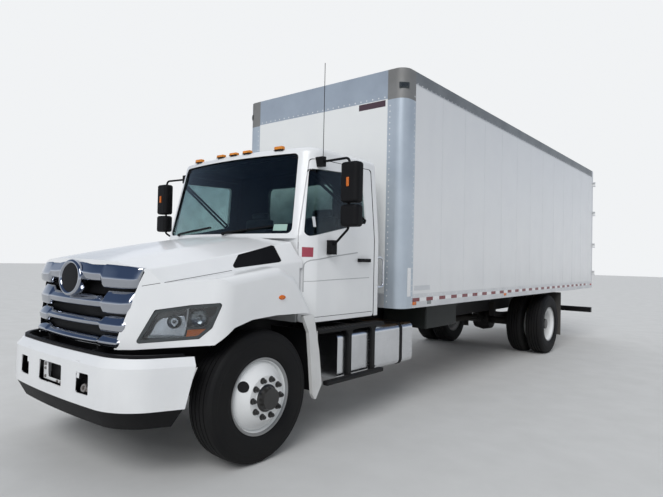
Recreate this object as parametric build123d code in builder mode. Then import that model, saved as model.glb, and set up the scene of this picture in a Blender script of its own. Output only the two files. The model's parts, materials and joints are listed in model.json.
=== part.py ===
"""Medium-duty bonneted truck with a day cab and a long van body.

Millimetres. The truck faces -Y, its left side is +X and +Z is up. The origin lies on the ground
under the middle of the overall length. Lengths along the truck are given as distances behind
the front axle, and aft() turns such a distance into Y.
"""
import math
import os

from build123d import *

os.makedirs("parts", exist_ok=True)

# Overall lengths
wheelbase = 6900
bumper_overhang = 1090
box_front = 1911
box_length = 7925
door_gear_stand = 44
overall_length = bumper_overhang + box_front + box_length + door_gear_stand
front_axle_y = bumper_overhang - overall_length / 2

# Van body
box_width = 2438
box_top = 3640
box_bottom = 1073
side_rail_top = 1225
top_rail_bottom = 3500
front_rail_bottom = 3327
wall = 50
roof_thickness = 40
corner_wrap = 220
corner_radius = 120

# Ladder frame
frame_width = 851
rail_height = 268
rail_flange = 78
rail_web = 8
rail_top = 1010
frame_front = -760
frame_tail = 146

# Wheels and axles
axle_height = 512
front_track = 2060
rear_track = 1828
dual_spacing = 343
kingpin_offset = 125
running_gap = 0.3
seat_gap = 0.3

# Cab
cab_back = 1653
cab_bottom = 1022
belt = 1780
cab_roof = 2615
cab_wall = 45
firewall = 560
cab_half_low = 1090
door_front = 572
door_rear = 1576
door_gap = 6
door_rear_gap = 12
door_hinge_x = 1000
door_hinge = 634
door_hinge_heights = (1402, 1700)
door_skin_top_x = 1000
door_skin_foot_x = 1083

# Hood
hood_rear = 548
hood_skin = 10
hood_pivot = -960
hood_pivot_z = 880
hood_pin_radius = 12
hood_ear_x = 417
hood_arm_x = 394
hood_plate = 16
fender_half_width = 1192
fender_rear = 566

box_rear = box_front + box_length
frame_rear = box_rear - frame_tail
box_half = box_width / 2
rail_half = frame_width / 2
rail_bottom = rail_top - rail_height
rail_inner = rail_half - rail_flange
floor_top = side_rail_top
rear_axle = wheelbase


def aft(distance):
    """Y of a place that lies this far behind the front axle."""
    return front_axle_y + distance


def aft_points(points):
    """Points of a side outline, given as (distance behind the front axle, height)."""
    return [(aft(distance), height) for distance, height in points]


def save(piece, name):
    """Labels a finished piece and writes it under its node's name."""
    piece.part.label = name
    export_step(piece.part, f"parts/{name}.step")


# Ladder frame: two channels, open inwards, with box cross members between their webs
frame_table = (  # distance behind the front axle, depth along the truck
    (-700, 90), (1420, 90), (2650, 90), (wheelbase - 3000, 90), (wheelbase - 1700, 90),
    (wheelbase - 650, 100), (wheelbase + 650, 100), (frame_rear - 1040, 90), (frame_rear - 70, 90),
)
cross_member_height = 120
cab_mount_radius = 50
ear_width = 36
cab_mounts = ((640, 380), (1560, 380))  # distance behind the front axle, distance from the centre line

with BuildPart() as frame_rails:
    with BuildSketch(Plane.XZ.offset(-aft(frame_front))):
        with Locations((rail_half - rail_flange / 2, rail_top - rail_height / 2)):
            Rectangle(rail_flange, rail_height)
        with Locations((rail_half - rail_web - rail_flange / 2, rail_top - rail_height / 2)):
            Rectangle(rail_flange, rail_height - 2 * rail_web, mode=Mode.SUBTRACT)
        mirror(about=Plane.YZ)
    extrude(amount=-(frame_rear - frame_front))
    for place, depth in frame_table:
        with Locations((0, aft(place), rail_top - rail_web - cross_member_height / 2)):
            Box(frame_width - 2 * rail_web, depth, cross_member_height)
    for place, side in cab_mounts:
        for x in (side, -side):
            with Locations((x, aft(place), rail_top)):
                Cylinder(cab_mount_radius, cab_bottom - rail_top - seat_gap,
                         align=(Align.CENTER, Align.CENTER, Align.MIN))
    # Ears reach forward to the hood's pivots and carry their pins
    for side in (1, -1):
        with BuildSketch(Plane.YZ.offset(side * hood_ear_x)):
            with Locations((aft(frame_front + 60), hood_pivot_z)):
                Rectangle(frame_front + 60 - hood_pivot, ear_width, align=(Align.MAX, Align.CENTER))
            with Locations((aft(hood_pivot), hood_pivot_z)):
                Circle(ear_width / 2)
        extrude(amount=hood_plate / 2, both=True)
        with BuildSketch(Plane.YZ.offset(side * hood_ear_x)):
            with Locations((aft(hood_pivot), hood_pivot_z)):
                Circle(hood_pin_radius)
        extrude(amount=-side * (hood_ear_x - hood_arm_x + hood_plate / 2 + 4))
save(frame_rails, "frame_rails")

# Front axle: a forged beam that drops between its kingpin eyes
kingpin_x = front_track / 2 - kingpin_offset
kingpin_radius = 25
eye_radius = 50
eye_height = 110
beam_depth = 90
beam_drop_half = 560
beam_top = 470
beam_height = 95
front_spring_x = 400
spring_width = 76

with BuildPart() as front_axle:
    with BuildSketch(Plane.XZ.offset(-aft(beam_depth / 2))):
        with BuildLine():
            outline = [
                (kingpin_x, axle_height + eye_height / 2 - 8), (kingpin_x - 90, axle_height + eye_height / 2 - 8),
                (beam_drop_half, beam_top), (-beam_drop_half, beam_top),
                (-kingpin_x + 90, axle_height + eye_height / 2 - 8),
                (-kingpin_x, axle_height + eye_height / 2 - 8), (-kingpin_x, axle_height - eye_height / 2 + 8),
                (-kingpin_x + 60, axle_height - eye_height / 2 + 8), (-beam_drop_half, beam_top - beam_height),
                (beam_drop_half, beam_top - beam_height), (kingpin_x - 60, axle_height - eye_height / 2 + 8),
                (kingpin_x, axle_height - eye_height / 2 + 8),
            ]
            Polyline(outline, close=True)
        make_face()
    extrude(amount=beam_depth)
    for x in (kingpin_x, -kingpin_x):
        with Locations((x, aft(0), axle_height)):
            Cylinder(eye_radius, eye_height)
    for x in (kingpin_x, -kingpin_x):
        with Locations((x, aft(0), axle_height)):
            Cylinder(kingpin_radius + running_gap, eye_height + 2, mode=Mode.SUBTRACT)
save(front_axle, "front_axle")

# Rear axle: a tube with a banjo housing and the pinion nose in front
tube_radius = 75
spindle_radius = 60
banjo_radius = 205
banjo_depth = 300
tube_half = 600
spindle_half = rear_track / 2 + 60
pinion_length = 380
pinion_radius = 90
pinion_height = 560
rear_spring_x = 475

with BuildPart() as rear_axle_part:
    with BuildSketch(Plane.YZ):
        with Locations((aft(rear_axle), axle_height)):
            Circle(tube_radius)
    extrude(amount=tube_half, both=True)
    with BuildSketch(Plane.YZ):
        with Locations((aft(rear_axle), axle_height)):
            Circle(spindle_radius)
    extrude(amount=spindle_half, both=True)
    with BuildSketch(Plane.YZ):
        with Locations((aft(rear_axle), axle_height)):
            Circle(banjo_radius)
    extrude(amount=banjo_depth / 2, both=True, taper=12)
    with BuildSketch(Plane.XZ.offset(-aft(rear_axle))):
        with Locations((0, pinion_height)):
            Circle(pinion_radius)
    extrude(amount=pinion_length)
save(rear_axle_part, "rear_axle")

# Leaf springs: curved packs under the rails, with a hanger at each end
springs = (  # axle, distance from the centre line, half length, rise at the ends, thickness, underside
    (0, front_spring_x, 700, 90, 60, beam_top + seat_gap),
    (rear_axle, rear_spring_x, 750, 60, 90, axle_height + tube_radius + 4),
)
hanger_depth = 90

with BuildPart() as leaf_springs:
    for place, x, half, rise, thick, low in springs:
        for side in (1, -1):
            with BuildSketch(Plane.YZ.offset(side * x - spring_width / 2)):
                with BuildLine():
                    under = ThreePointArc(*aft_points([(place - half, low + rise), (place, low),
                                                       (place + half, low + rise)]))
                    over = ThreePointArc(*aft_points([(place - half, low + rise + thick), (place, low + thick),
                                                      (place + half, low + rise + thick)]))
                    Line(under @ 0, over @ 0)
                    Line(under @ 1, over @ 1)
                make_face()
            extrude(amount=spring_width)
    # Front hangers hang from the rails' undersides, rear ones are bolted to their webs
    for end in (-1, 1):
        for side in (1, -1):
            place, x, half, rise, thick, low = springs[0]
            base = low + rise
            with Locations((side * x, aft(place + end * half), base)):
                Box(spring_width, hanger_depth, rail_bottom - seat_gap - base,
                    align=(Align.CENTER, Align.CENTER, Align.MIN))
            place, x, half, rise, thick, low = springs[1]
            base = low + rise
            inner = rail_half + seat_gap
            outer = x + spring_width / 2
            with Locations((side * (inner + outer) / 2, aft(place + end * half), base)):
                Box(outer - inner, hanger_depth, rail_bottom + 150 - base,
                    align=(Align.CENTER, Align.CENTER, Align.MIN))
    # Rear spring seats reach down to the axle tube
    for side in (1, -1):
        place, x, half, rise, thick, low = springs[1]
        with Locations((side * x, aft(place), axle_height + tube_radius - 20)):
            Box(spring_width, 110, 30, align=(Align.CENTER, Align.CENTER, Align.MIN))
    with BuildSketch(Plane.YZ):
        with Locations((aft(rear_axle), axle_height)):
            Circle(tube_radius + seat_gap)
    extrude(amount=tube_half, both=True, mode=Mode.SUBTRACT)
save(leaf_springs, "leaf_springs")

# Engine and radiator stand between the rails, the gearbox and shaft run back to the axle
engine_front = -540
engine_rear = 540
engine_low = 620
engine_high = 1480
radiator_front = -700
radiator_depth = 120
radiator_top = 1440
gearbox_rear = 1330
gearbox_width = 420
shaft_height = 760
shaft_radius = 50

with BuildPart() as engine:
    with Locations((0, aft((engine_front + engine_rear) / 2), (engine_low + engine_high) / 2)):
        Box(2 * (rail_inner - seat_gap), engine_rear - engine_front, engine_high - engine_low)
save(engine, "engine")

with BuildPart() as radiator:
    with Locations((0, aft(radiator_front + radiator_depth / 2), (radiator_top + rail_bottom) / 2)):
        Box(2 * (rail_inner - seat_gap), radiator_depth, radiator_top - rail_bottom)
    with Locations((0, aft(frame_table[0][0]), rail_top - rail_web - cross_member_height / 2)):
        Box(frame_width, frame_table[0][1] + 2 * seat_gap, cross_member_height + 2 * seat_gap, mode=Mode.SUBTRACT)
save(radiator, "radiator")

with BuildPart() as driveline:
    with BuildSketch(Plane.XZ.offset(-aft(engine_rear + seat_gap))):
        with Locations((0, shaft_height + 20)):
            RectangleRounded(gearbox_width, 300, 60)
    extrude(amount=-(gearbox_rear - engine_rear), taper=4)
    shaft_start = Vector(0, aft(gearbox_rear - 30), shaft_height)
    shaft_end = Vector(0, aft(rear_axle - pinion_length) - seat_gap, pinion_height)
    run = shaft_end - shaft_start
    with BuildSketch(Plane(origin=shaft_start, x_dir=(1, 0, 0), z_dir=run.normalized())):
        Circle(shaft_radius)
    extrude(amount=run.length - 3)
save(driveline, "driveline")

# Cab: a prism up to the belt and a narrower glasshouse above it
front_bow = 95
pillar_bow = 30


def cab_plan(height, centre, corner, side, rear_x, inset):
    """Cab outline seen from above: bowed front, curved corner pillars and straight sides."""
    corner_x, corner_place = corner
    side_x, side_place = side
    with BuildSketch(Plane.XY.offset(height)) as plan:
        with BuildLine():
            ThreePointArc((-corner_x, aft(corner_place)), (0, aft(centre)), (corner_x, aft(corner_place)))
            SagittaArc((corner_x, aft(corner_place)), (side_x, aft(side_place)), -pillar_bow)
            SagittaArc((-corner_x, aft(corner_place)), (-side_x, aft(side_place)), pillar_bow)
            Polyline((side_x, aft(side_place)), (rear_x, aft(cab_back)), (-rear_x, aft(cab_back)),
                     (-side_x, aft(side_place)))
        make_face()
        if inset:
            offset(amount=-inset, kind=Kind.INTERSECTION, mode=Mode.REPLACE)
    return plan.sketch


belt_plan = (448, (924, 543), (1080, 720), 1088)
roof_plan = (614, (836, 708), (984, 860), 1016)


def cab_form(inset, roof_round):
    """The cab's outer form, or the same form moved inwards."""
    with BuildPart() as form:
        extrude(cab_plan(cab_bottom + inset, *belt_plan, inset), amount=belt - cab_bottom - inset)
        loft([cab_plan(belt, *belt_plan, inset), cab_plan(cab_roof - inset, *roof_plan, inset)], ruled=True)
        fillet(form.faces().sort_by(Axis.Z)[-1].edges(), roof_round)
        with Locations((0, aft(firewall + inset), 0)):
            Box(3000, 1000, belt - 20 + inset, align=(Align.CENTER, Align.MAX, Align.MIN), mode=Mode.SUBTRACT)
    return form.part


def side_outline(x, points, radius, shrink=0):
    """A side outline with rounded corners on the plane at x, given in distances behind the front axle."""
    with BuildSketch(Plane.YZ.offset(x)) as outline:
        with BuildLine():
            FilletPolyline(*aft_points(points), radius=radius, close=True)
        make_face()
        if shrink:
            offset(amount=-shrink, mode=Mode.REPLACE)
    return outline.sketch


def front_outline(place, points, radius, shrink=0):
    """A front outline with rounded corners on the plane that lies this far behind the front axle."""
    with BuildSketch(Plane.XZ.offset(-aft(place))) as outline:
        with BuildLine():
            FilletPolyline(*points, radius=radius, close=True)
        make_face()
        if shrink:
            offset(amount=-shrink, mode=Mode.REPLACE)
    return outline.sketch


door_points = [
    (door_front, 1790), (738, 2492), (door_rear, 2500), (door_rear, cab_bottom - 2), (door_front, cab_bottom - 2),
]
door_hole_points = [
    (door_front - door_gap, 1790), (738 - door_gap, 2492 + door_gap), (door_rear + door_rear_gap, 2500 + door_gap),
    (door_rear + door_rear_gap, cab_bottom - 20), (door_front - door_gap, cab_bottom - 20),
]
door_window_points = [(596, 1772), (718, 2400), (1448, 2432), (1452, 1948)]
windshield_points = [(-912, 1804), (-838, 2552), (838, 2552), (912, 1804)]
door_cut_depth = 860
door_handle = (1395, 1577, 190, 34)  # place, height, length, width
handle_reach = 34
glass_thickness = 6
glass_inset = 14

hinge_arm_height = 40
hinge_arm_width = 12
hinge_pin_radius = 8
hinge_eye_radius = 15
hinge_back = 674
hinge_pocket_reach = 120
hinge_pocket_angles = (148, 264)
hinge_clearance = 6
hinge_skin = 4


def hinge_bracket(height):
    """Plan of a cab hinge bracket: along the opening's front edge, then out to the pin."""
    with BuildSketch(Plane.XY.offset(height)) as plan:
        with BuildLine():
            Polyline((door_cut_depth - 14, aft(firewall + 20)), (door_cut_depth - 2, aft(firewall + 20)),
                     (door_cut_depth - 2, aft(hinge_back - hinge_arm_width)),
                     (door_hinge_x, aft(door_hinge - hinge_arm_width / 2)),
                     (door_hinge_x, aft(door_hinge + hinge_arm_width / 2)),
                     (door_cut_depth - 14, aft(hinge_back)), close=True)
        make_face()
    return plan.sketch


def hinge_pocket(height):
    """Plan of the room that a door leaves for a bracket as it swings."""
    first, last = (math.radians(angle) for angle in hinge_pocket_angles)
    reach = hinge_pocket_reach
    start = Vector(door_hinge_x + reach * math.cos(first), aft(door_hinge) + reach * math.sin(first))
    end = Vector(door_hinge_x + reach * math.cos(last), aft(door_hinge) + reach * math.sin(last))
    with BuildSketch(Plane.XY.offset(height)) as plan:
        with BuildLine():
            Polyline((door_hinge_x, aft(door_hinge)), start, (door_hinge_x - 1.6 * reach, aft(door_hinge - 20)),
                     end, close=True)
        make_face()
        with Locations((door_hinge_x, aft(door_hinge))):
            Circle(hinge_eye_radius + hinge_clearance)
    return plan.sketch


cab_outer = cab_form(0, 75)
cab_inner = cab_form(cab_wall, 40)

with BuildPart() as cab_shell:
    add(cab_outer)
    add(cab_inner, mode=Mode.SUBTRACT)
    door_hole = extrude(side_outline(door_cut_depth, door_hole_points, 30), amount=500, mode=Mode.SUBTRACT)
    mirror(door_hole, about=Plane.YZ, mode=Mode.SUBTRACT)
    extrude(front_outline(1000, windshield_points, 50), amount=900, mode=Mode.SUBTRACT)
    with BuildSketch(Plane.XZ.offset(-aft(cab_back - 200))):
        with Locations((0, 2200)):
            RectangleRounded(1000, 420, 60)
    extrude(amount=-400, mode=Mode.SUBTRACT)
    # Hinge brackets go back from the firewall's ends and out to the door pins
    with BuildPart(mode=Mode.PRIVATE) as brackets:
        for height in door_hinge_heights:
            extrude(hinge_bracket(height - hinge_arm_height / 2), amount=hinge_arm_height)
            with Locations((door_hinge_x, aft(door_hinge), height)):
                Cylinder(hinge_eye_radius, hinge_arm_height)
                Cylinder(hinge_pin_radius + running_gap, hinge_arm_height, mode=Mode.SUBTRACT)
    add(brackets.part)
    mirror(brackets.part, about=Plane.YZ)
save(cab_shell, "cab_shell")

# Glass fixed to the cab: the windshield follows the cab's front, the rear window is flat
with BuildPart() as cab_glass:
    add(cab_form(glass_inset, 60))
    add(cab_form(glass_inset + glass_thickness, 55), mode=Mode.SUBTRACT)
    extrude(front_outline(1000, windshield_points, 50, seat_gap), amount=900, mode=Mode.INTERSECT)
    with BuildSketch(Plane.XZ.offset(-aft(cab_back - 30))):
        with Locations((0, 2200)):
            RectangleRounded(1000 - 2 * seat_gap, 420 - 2 * seat_gap, 60)
    extrude(amount=-glass_thickness)
save(cab_glass, "cab_glass")

# Cab doors, with their window glass
door_skin = cab_outer - cab_form(cab_wall - 5, 45)
glass_skin = cab_form(glass_inset, 60) - cab_form(glass_inset + glass_thickness, 55)

with BuildPart() as door_left:
    extrude(side_outline(door_cut_depth + 20, door_points, 36), amount=400)
    add(door_skin, mode=Mode.INTERSECT)
    extrude(side_outline(door_cut_depth, door_window_points, 40), amount=500, mode=Mode.SUBTRACT)
    # Pockets for the hinge brackets leave the outer skin whole, and each holds the door's pin
    with BuildPart(mode=Mode.PRIVATE) as pockets:
        for height in door_hinge_heights:
            extrude(hinge_pocket(height - hinge_arm_height / 2 - hinge_clearance),
                    amount=hinge_arm_height + 2 * hinge_clearance)
        add(cab_form(hinge_skin, 70), mode=Mode.INTERSECT)
    add(pockets.part, mode=Mode.SUBTRACT)
    for height in door_hinge_heights:
        with Locations((door_hinge_x, aft(door_hinge), height)):
            Cylinder(hinge_pin_radius, hinge_arm_height + 2 * hinge_clearance + 20)
    # Handle: a rounded bar that stands off the outer skin on a foot at each end
    place, height, length, width = door_handle
    with BuildSketch(Plane.XY.offset(height - width / 2)) as handle_plan:
        with Locations((door_skin_foot_x + handle_reach - 8, aft(place))):
            RectangleRounded(16, length, 7)
        for end in (-1, 1):
            with Locations((door_skin_foot_x + handle_reach / 2 - 6, aft(place + end * (length / 2 - 14)))):
                Rectangle(handle_reach, 22)
    extrude(handle_plan.sketch, amount=width)
save(door_left, "door_left")

with BuildPart() as door_right:
    add(mirror(door_left.part, about=Plane.YZ))
save(door_right, "door_right")

with BuildPart() as door_glass_left:
    extrude(side_outline(door_cut_depth + 20, door_window_points, 40, seat_gap), amount=400)
    add(glass_skin, mode=Mode.INTERSECT)
save(door_glass_left, "door_glass_left")

with BuildPart() as door_glass_right:
    add(mirror(door_glass_left.part, about=Plane.YZ))
save(door_glass_right, "door_glass_right")

# Mirrors: a tall head and a small convex head on a bracket that stands off the door
mirror_x = 1398
mirror_place = 775
mirror_width = 190
mirror_depth = 120
mirror_round = 44
mirror_edge = 26
mirror_heads = ((2074, 2425), (1866, 2056))  # lower and upper edge of each head
arm_radius = 11
arm_top = 2468
arm_foot = 1690
bracket_place = 800
foot_place = 868
whip_radius = 3
whip_top = 3370

with BuildPart() as mirror_left:
    for low, high in mirror_heads:
        with Locations((mirror_x, aft(mirror_place), (low + high) / 2)):
            Box(mirror_width, mirror_depth, high - low)
    fillet(mirror_left.edges().filter_by(Axis.Z), mirror_round)
    fillet(mirror_left.faces().filter_by(Axis.Z).edges(), mirror_edge)
    # The bracket tube runs from the door's upper frame, round the heads and down to the foot
    with BuildLine() as arm:
        FilletPolyline(
            (door_skin_top_x + 45, aft(bracket_place), arm_top),
            (mirror_x - 30, aft(mirror_place), arm_top),
            (mirror_x - 30, aft(mirror_place), 1850),
            (door_skin_foot_x + 50, aft(foot_place), arm_foot + 20),
            radius=45)
    with BuildSketch(Plane(origin=arm.line @ 0, z_dir=arm.line % 0)):
        Circle(arm_radius)
    sweep(path=arm.line)
    with Locations((door_skin_top_x, aft(bracket_place), arm_top)):
        Box(126, 44, 90)
    with Locations((door_skin_foot_x + 20, aft(foot_place), arm_foot)):
        Box(84, 70, 130)
    with Locations((door_skin_top_x + 45, aft(bracket_place), arm_top)):
        Cylinder(whip_radius, whip_top - arm_top, align=(Align.CENTER, Align.CENTER, Align.MIN))
    add(cab_form(-seat_gap, 75), mode=Mode.SUBTRACT)
save(mirror_left, "mirror_left")

with BuildPart() as mirror_right:
    add(mirror(mirror_left.part, about=Plane.YZ))
    with Locations((-door_skin_top_x - 45, aft(bracket_place), arm_top + 45)):
        Box(60, 60, whip_top, align=(Align.CENTER, Align.CENTER, Align.MIN), mode=Mode.SUBTRACT)
save(mirror_right, "mirror_right")

# Cab inside: dashboard, steering wheel, two seats on their bases
dash_rear = 830
dash_top = 1770
dash_low = 1450
dash_half = 835
seat_half = 250
seat_x = 480
seat_front = 1000
cushion_length = 480
cushion_top = 1530
cushion_thickness = 130
back_top = 2130
wheel_ring = 215

with BuildPart() as dashboard:
    with BuildSketch(Plane.YZ.offset(-dash_half)):
        with BuildLine():
            Polyline(*aft_points([
                (firewall + cab_wall + seat_gap, dash_low), (firewall + cab_wall + seat_gap, belt - 30),
                (dash_rear - 60, dash_top - 20), (dash_rear, dash_top - 90), (dash_rear - 60, dash_low)]), close=True)
        make_face()
    extrude(amount=2 * dash_half)
save(dashboard, "dashboard")

with BuildPart() as steering_wheel:
    hub = Plane(origin=(seat_x, aft(900), 1750), z_dir=(0, -0.55, -0.83))
    with BuildSketch(hub):
        Circle(wheel_ring)
        Circle(wheel_ring - 26, mode=Mode.SUBTRACT)
        Circle(60)
        Rectangle(2 * wheel_ring - 26, 40)
    extrude(amount=26)
    with BuildSketch(hub):
        Circle(26)
    extrude(amount=190)
    add(dashboard.part, mode=Mode.SUBTRACT)
save(steering_wheel, "steering_wheel")

with BuildPart() as seats:
    for x in (seat_x, -seat_x):
        with BuildSketch(Plane.YZ.offset(x - seat_half)):
            with BuildLine():
                FilletPolyline(*aft_points([
                    (seat_front, cushion_top - cushion_thickness), (seat_front, cushion_top),
                    (seat_front + cushion_length - 110, cushion_top - 15),
                    (seat_front + cushion_length - 60, back_top), (seat_front + cushion_length + 40, back_top),
                    (seat_front + cushion_length, cushion_top - cushion_thickness)]), radius=25, close=True)
            make_face()
        extrude(amount=2 * seat_half)
save(seats, "seats")

with BuildPart() as seat_bases:
    for x in (seat_x, -seat_x):
        with Locations((x, aft(seat_front + cushion_length / 2), cab_bottom + cab_wall + seat_gap)):
            Box(400, 380, cushion_top - cushion_thickness - cab_bottom - cab_wall - 2 * seat_gap,
                align=(Align.CENTER, Align.CENTER, Align.MIN))
save(seat_bases, "seat_bases")

# Five amber lamps along the roof's front edge
roof_lamps = ((0, 640), (200, 641), (-200, 641), (607, 676), (-607, 676))  # distance from the centre line, place
with BuildPart() as roof_lights:
    for x, place in roof_lamps:
        with Locations((x, aft(place), cab_roof - 40)):
            Box(110, 60, 60, align=(Align.CENTER, Align.CENTER, Align.MIN))
    add(cab_form(-seat_gap, 75), mode=Mode.SUBTRACT)
save(roof_lights, "roof_lights")

# Wipers: an arm and a blade on each half of the windshield, on pivots along its lower edge
wiper_table = ((-700, -400), (90, 420))  # distance of the pivot and of the blade's middle from the centre line
wiper_pivot_height = 1804
wiper_blade_height = 1846
wiper_blade = (560, 14, 16)  # length, width, thickness


def windshield_plane(x, height):
    """Plane that touches the windshield's outer form at this point and faces outwards."""
    slope = 2 * front_bow * x / belt_plan[1][0] ** 2
    lean = (roof_plan[0] - belt_plan[0]) / (cab_roof - belt)
    place = belt_plan[0] + front_bow * (x / belt_plan[1][0]) ** 2 + lean * (height - belt)
    return Plane(origin=(x, aft(place), height), x_dir=(1, slope, 0.1), z_dir=(slope, -1, lean))


glass_surround = cab_form(-seat_gap, 75) - extrude(front_outline(1000, windshield_points, 50), amount=2000)

with BuildPart() as wipers:
    for pivot_x, blade_x in wiper_table:
        blade = windshield_plane(blade_x, wiper_blade_height)
        with BuildSketch(blade.offset(-glass_inset + 1)):
            Rectangle(wiper_blade[0], wiper_blade[1])
        extrude(amount=wiper_blade[2] + 4)
        pivot = windshield_plane(pivot_x, wiper_pivot_height)
        with BuildSketch(pivot.offset(-6)):
            Circle(13)
        extrude(amount=26)
        with BuildSketch(blade.offset(4)) as arm:
            with BuildLine():
                foot = blade.to_local_coords(pivot.origin)
                Polyline((foot.X, foot.Y - 9), (foot.X, foot.Y + 9), (0, 5), (0, -5), close=True)
            make_face()
        extrude(amount=14)
    add(glass_surround, mode=Mode.SUBTRACT)
save(wipers, "wipers")

# Hood: a raised middle between creases, on wide fenders that fall away behind the wheels
hood_sections = (  # place, middle height, crease x and z, shoulder x and z, foot x and z
    (-1000, 1530, 560, 1506, 764, 1453, 800, 1340),
    (-200, 1690, 520, 1668, 850, 1582, 945, 1465),
    (620, 1806, 480, 1796, 925, 1750, 1020, 1560),
)
fender_top = ((-1000, 1346), (150, 1516), (330, 1440), (fender_rear, 1105))  # crown of the fender: place, height
fender_crown_radius = 120
fender_edge = 70
fender_crown_low = 1150
shoulder_round = 40
nose_low = 800
nose_high = 1900
nose_lean_low = -19
nose_lean_high = 62
nose_middle = -960
nose_corner = (640, -900)  # distance from the centre line, distance behind the front axle
lamp_front = (745, -842)
lamp_rear = (1105, -500)
fender_side_front = -340
hood_foot = 850


def hood_section(inset, place, middle, crease_x, crease_z, shoulder_x, shoulder_z, foot_x, foot_z):
    """One cross section of the raised middle of the hood, or the same moved inwards."""
    middle, crease_z, shoulder_z, foot_z = middle - inset, crease_z - inset, shoulder_z - inset, foot_z - inset
    shoulder_x, foot_x = shoulder_x - inset / 2, foot_x - inset
    with BuildSketch(Plane.XZ.offset(-aft(place))) as section:
        with BuildLine():
            left = FilletPolyline((-foot_x, hood_foot), (-foot_x, foot_z), (-shoulder_x, shoulder_z),
                                  (-crease_x, crease_z), radius=shoulder_round)
            right = FilletPolyline((foot_x, hood_foot), (foot_x, foot_z), (shoulder_x, shoulder_z),
                                   (crease_x, crease_z), radius=shoulder_round)
            ThreePointArc(left @ 1, (0, middle), right @ 1)
            Line(left @ 0, right @ 0)
        make_face()
    return section.sketch


def nose_plan(height, lean, inset):
    """The hood's outline seen from above: bowed grille face, slanted lamp faces and straight sides."""
    corner_x, corner_y = nose_corner[0], aft(nose_corner[1] + lean)
    with BuildSketch(Plane.XY.offset(height)) as plan:
        with BuildLine():
            ThreePointArc((-corner_x, corner_y), (0, aft(nose_middle + lean)), (corner_x, corner_y))
            for side in (1, -1):
                Polyline((side * corner_x, corner_y), (side * lamp_front[0], aft(lamp_front[1] + lean)),
                         (side * lamp_rear[0], aft(lamp_rear[1] + lean)))
                SagittaArc((side * lamp_rear[0], aft(lamp_rear[1] + lean)),
                           (side * fender_half_width, aft(fender_side_front + lean)), -side * 22)
            Polyline((fender_half_width, aft(fender_side_front + lean)), (fender_half_width, aft(900)),
                     (-fender_half_width, aft(900)), (-fender_half_width, aft(fender_side_front + lean)))
        make_face()
        if inset:
            offset(amount=-inset, kind=Kind.INTERSECTION, mode=Mode.REPLACE)
    return plan.sketch


def nose_form(inset):
    """Solid that trims the hood's front and sides."""
    with BuildPart() as form:
        loft([nose_plan(nose_low, nose_lean_low, inset), nose_plan(nose_high, nose_lean_high, inset)], ruled=True)
    return form.part


def fender_side(inset):
    """Side outline of the fenders, closed below by the hood's foot."""
    with BuildSketch(Plane.YZ) as outline:
        with BuildLine():
            crown = FilletPolyline(*aft_points([(place, height - inset) for place, height in fender_top]),
                                   radius=fender_crown_radius)
            Polyline(crown @ 1, (aft(fender_rear), hood_foot), (aft(fender_top[0][0]), hood_foot), crown @ 0)
        make_face()
    return outline.sketch


def fender_form(inset):
    """Both fenders and what lies between them, rounded along the outer edges of the crown."""
    with BuildPart() as form:
        extrude(fender_side(inset), amount=fender_half_width - inset, both=True)
        sides = form.faces().sort_by(Axis.X)
        crown = (sides[0].edges() + sides[-1].edges()).filter_by(lambda edge: edge.center().Z > fender_crown_low)
        fillet(crown, fender_edge - inset)
    return form.part


def hood_form(inset):
    """The hood's outer form, or the same form moved inwards."""
    with BuildPart() as form:
        loft([hood_section(inset, *row) for row in hood_sections])
        add(fender_form(inset))
    return form.part


arch_outline = [  # wheel arch, seen from the side
    (-620, 700), (-510, 900), (-458, 965), (-320, 1072), (-150, 1118), (100, 1134), (fender_rear + 40, 1128),
    (fender_rear + 40, 700),
]
lamp_outline = ((0, 962), (443, 1000), (534, 1078), (606, 1258), (377, 1238), (130, 1200))  # along the lamp face, z
lamp_depth = 170
lamp_shell_depth = 90
vent_outline = ((-150, 1492), (-30, 1604), (345, 1694), (362, 1560), (330, 1548))
grille_half_top = 768
grille_half_low = 590
grille_low = 917
grille_high = 1470
grille_peak = (560, 1508)  # half width, height of the opening's raised middle
lamp_face = Plane(origin=(lamp_front[0], aft(lamp_front[1]), 0), x_dir=(0.725, 0.689, 0),
                  z_dir=(0.689, -0.725, 0))
hood_low_front = 917
hood_low_rear = 962


def lamp_sketch(shrink):
    """Headlight outline on the slanted lamp face."""
    with BuildSketch(lamp_face) as outline:
        with BuildLine():
            FilletPolyline(*lamp_outline, radius=18, close=True)
        make_face()
        if shrink:
            offset(amount=-shrink, mode=Mode.REPLACE)
    return outline.sketch


def grille_outline(shrink):
    """Outline of the grille's opening, on a plane behind the grille."""
    peak, top = grille_peak
    return front_outline(-600, [(-grille_half_low, grille_low - 60), (-grille_half_top, grille_high), (-peak, top),
                                (peak, top), (grille_half_top, grille_high), (grille_half_low, grille_low - 60)],
                         8, shrink)


hood_outer = hood_form(0) & nose_form(0)
hood_inner = hood_form(hood_skin) & nose_form(hood_skin)

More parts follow.
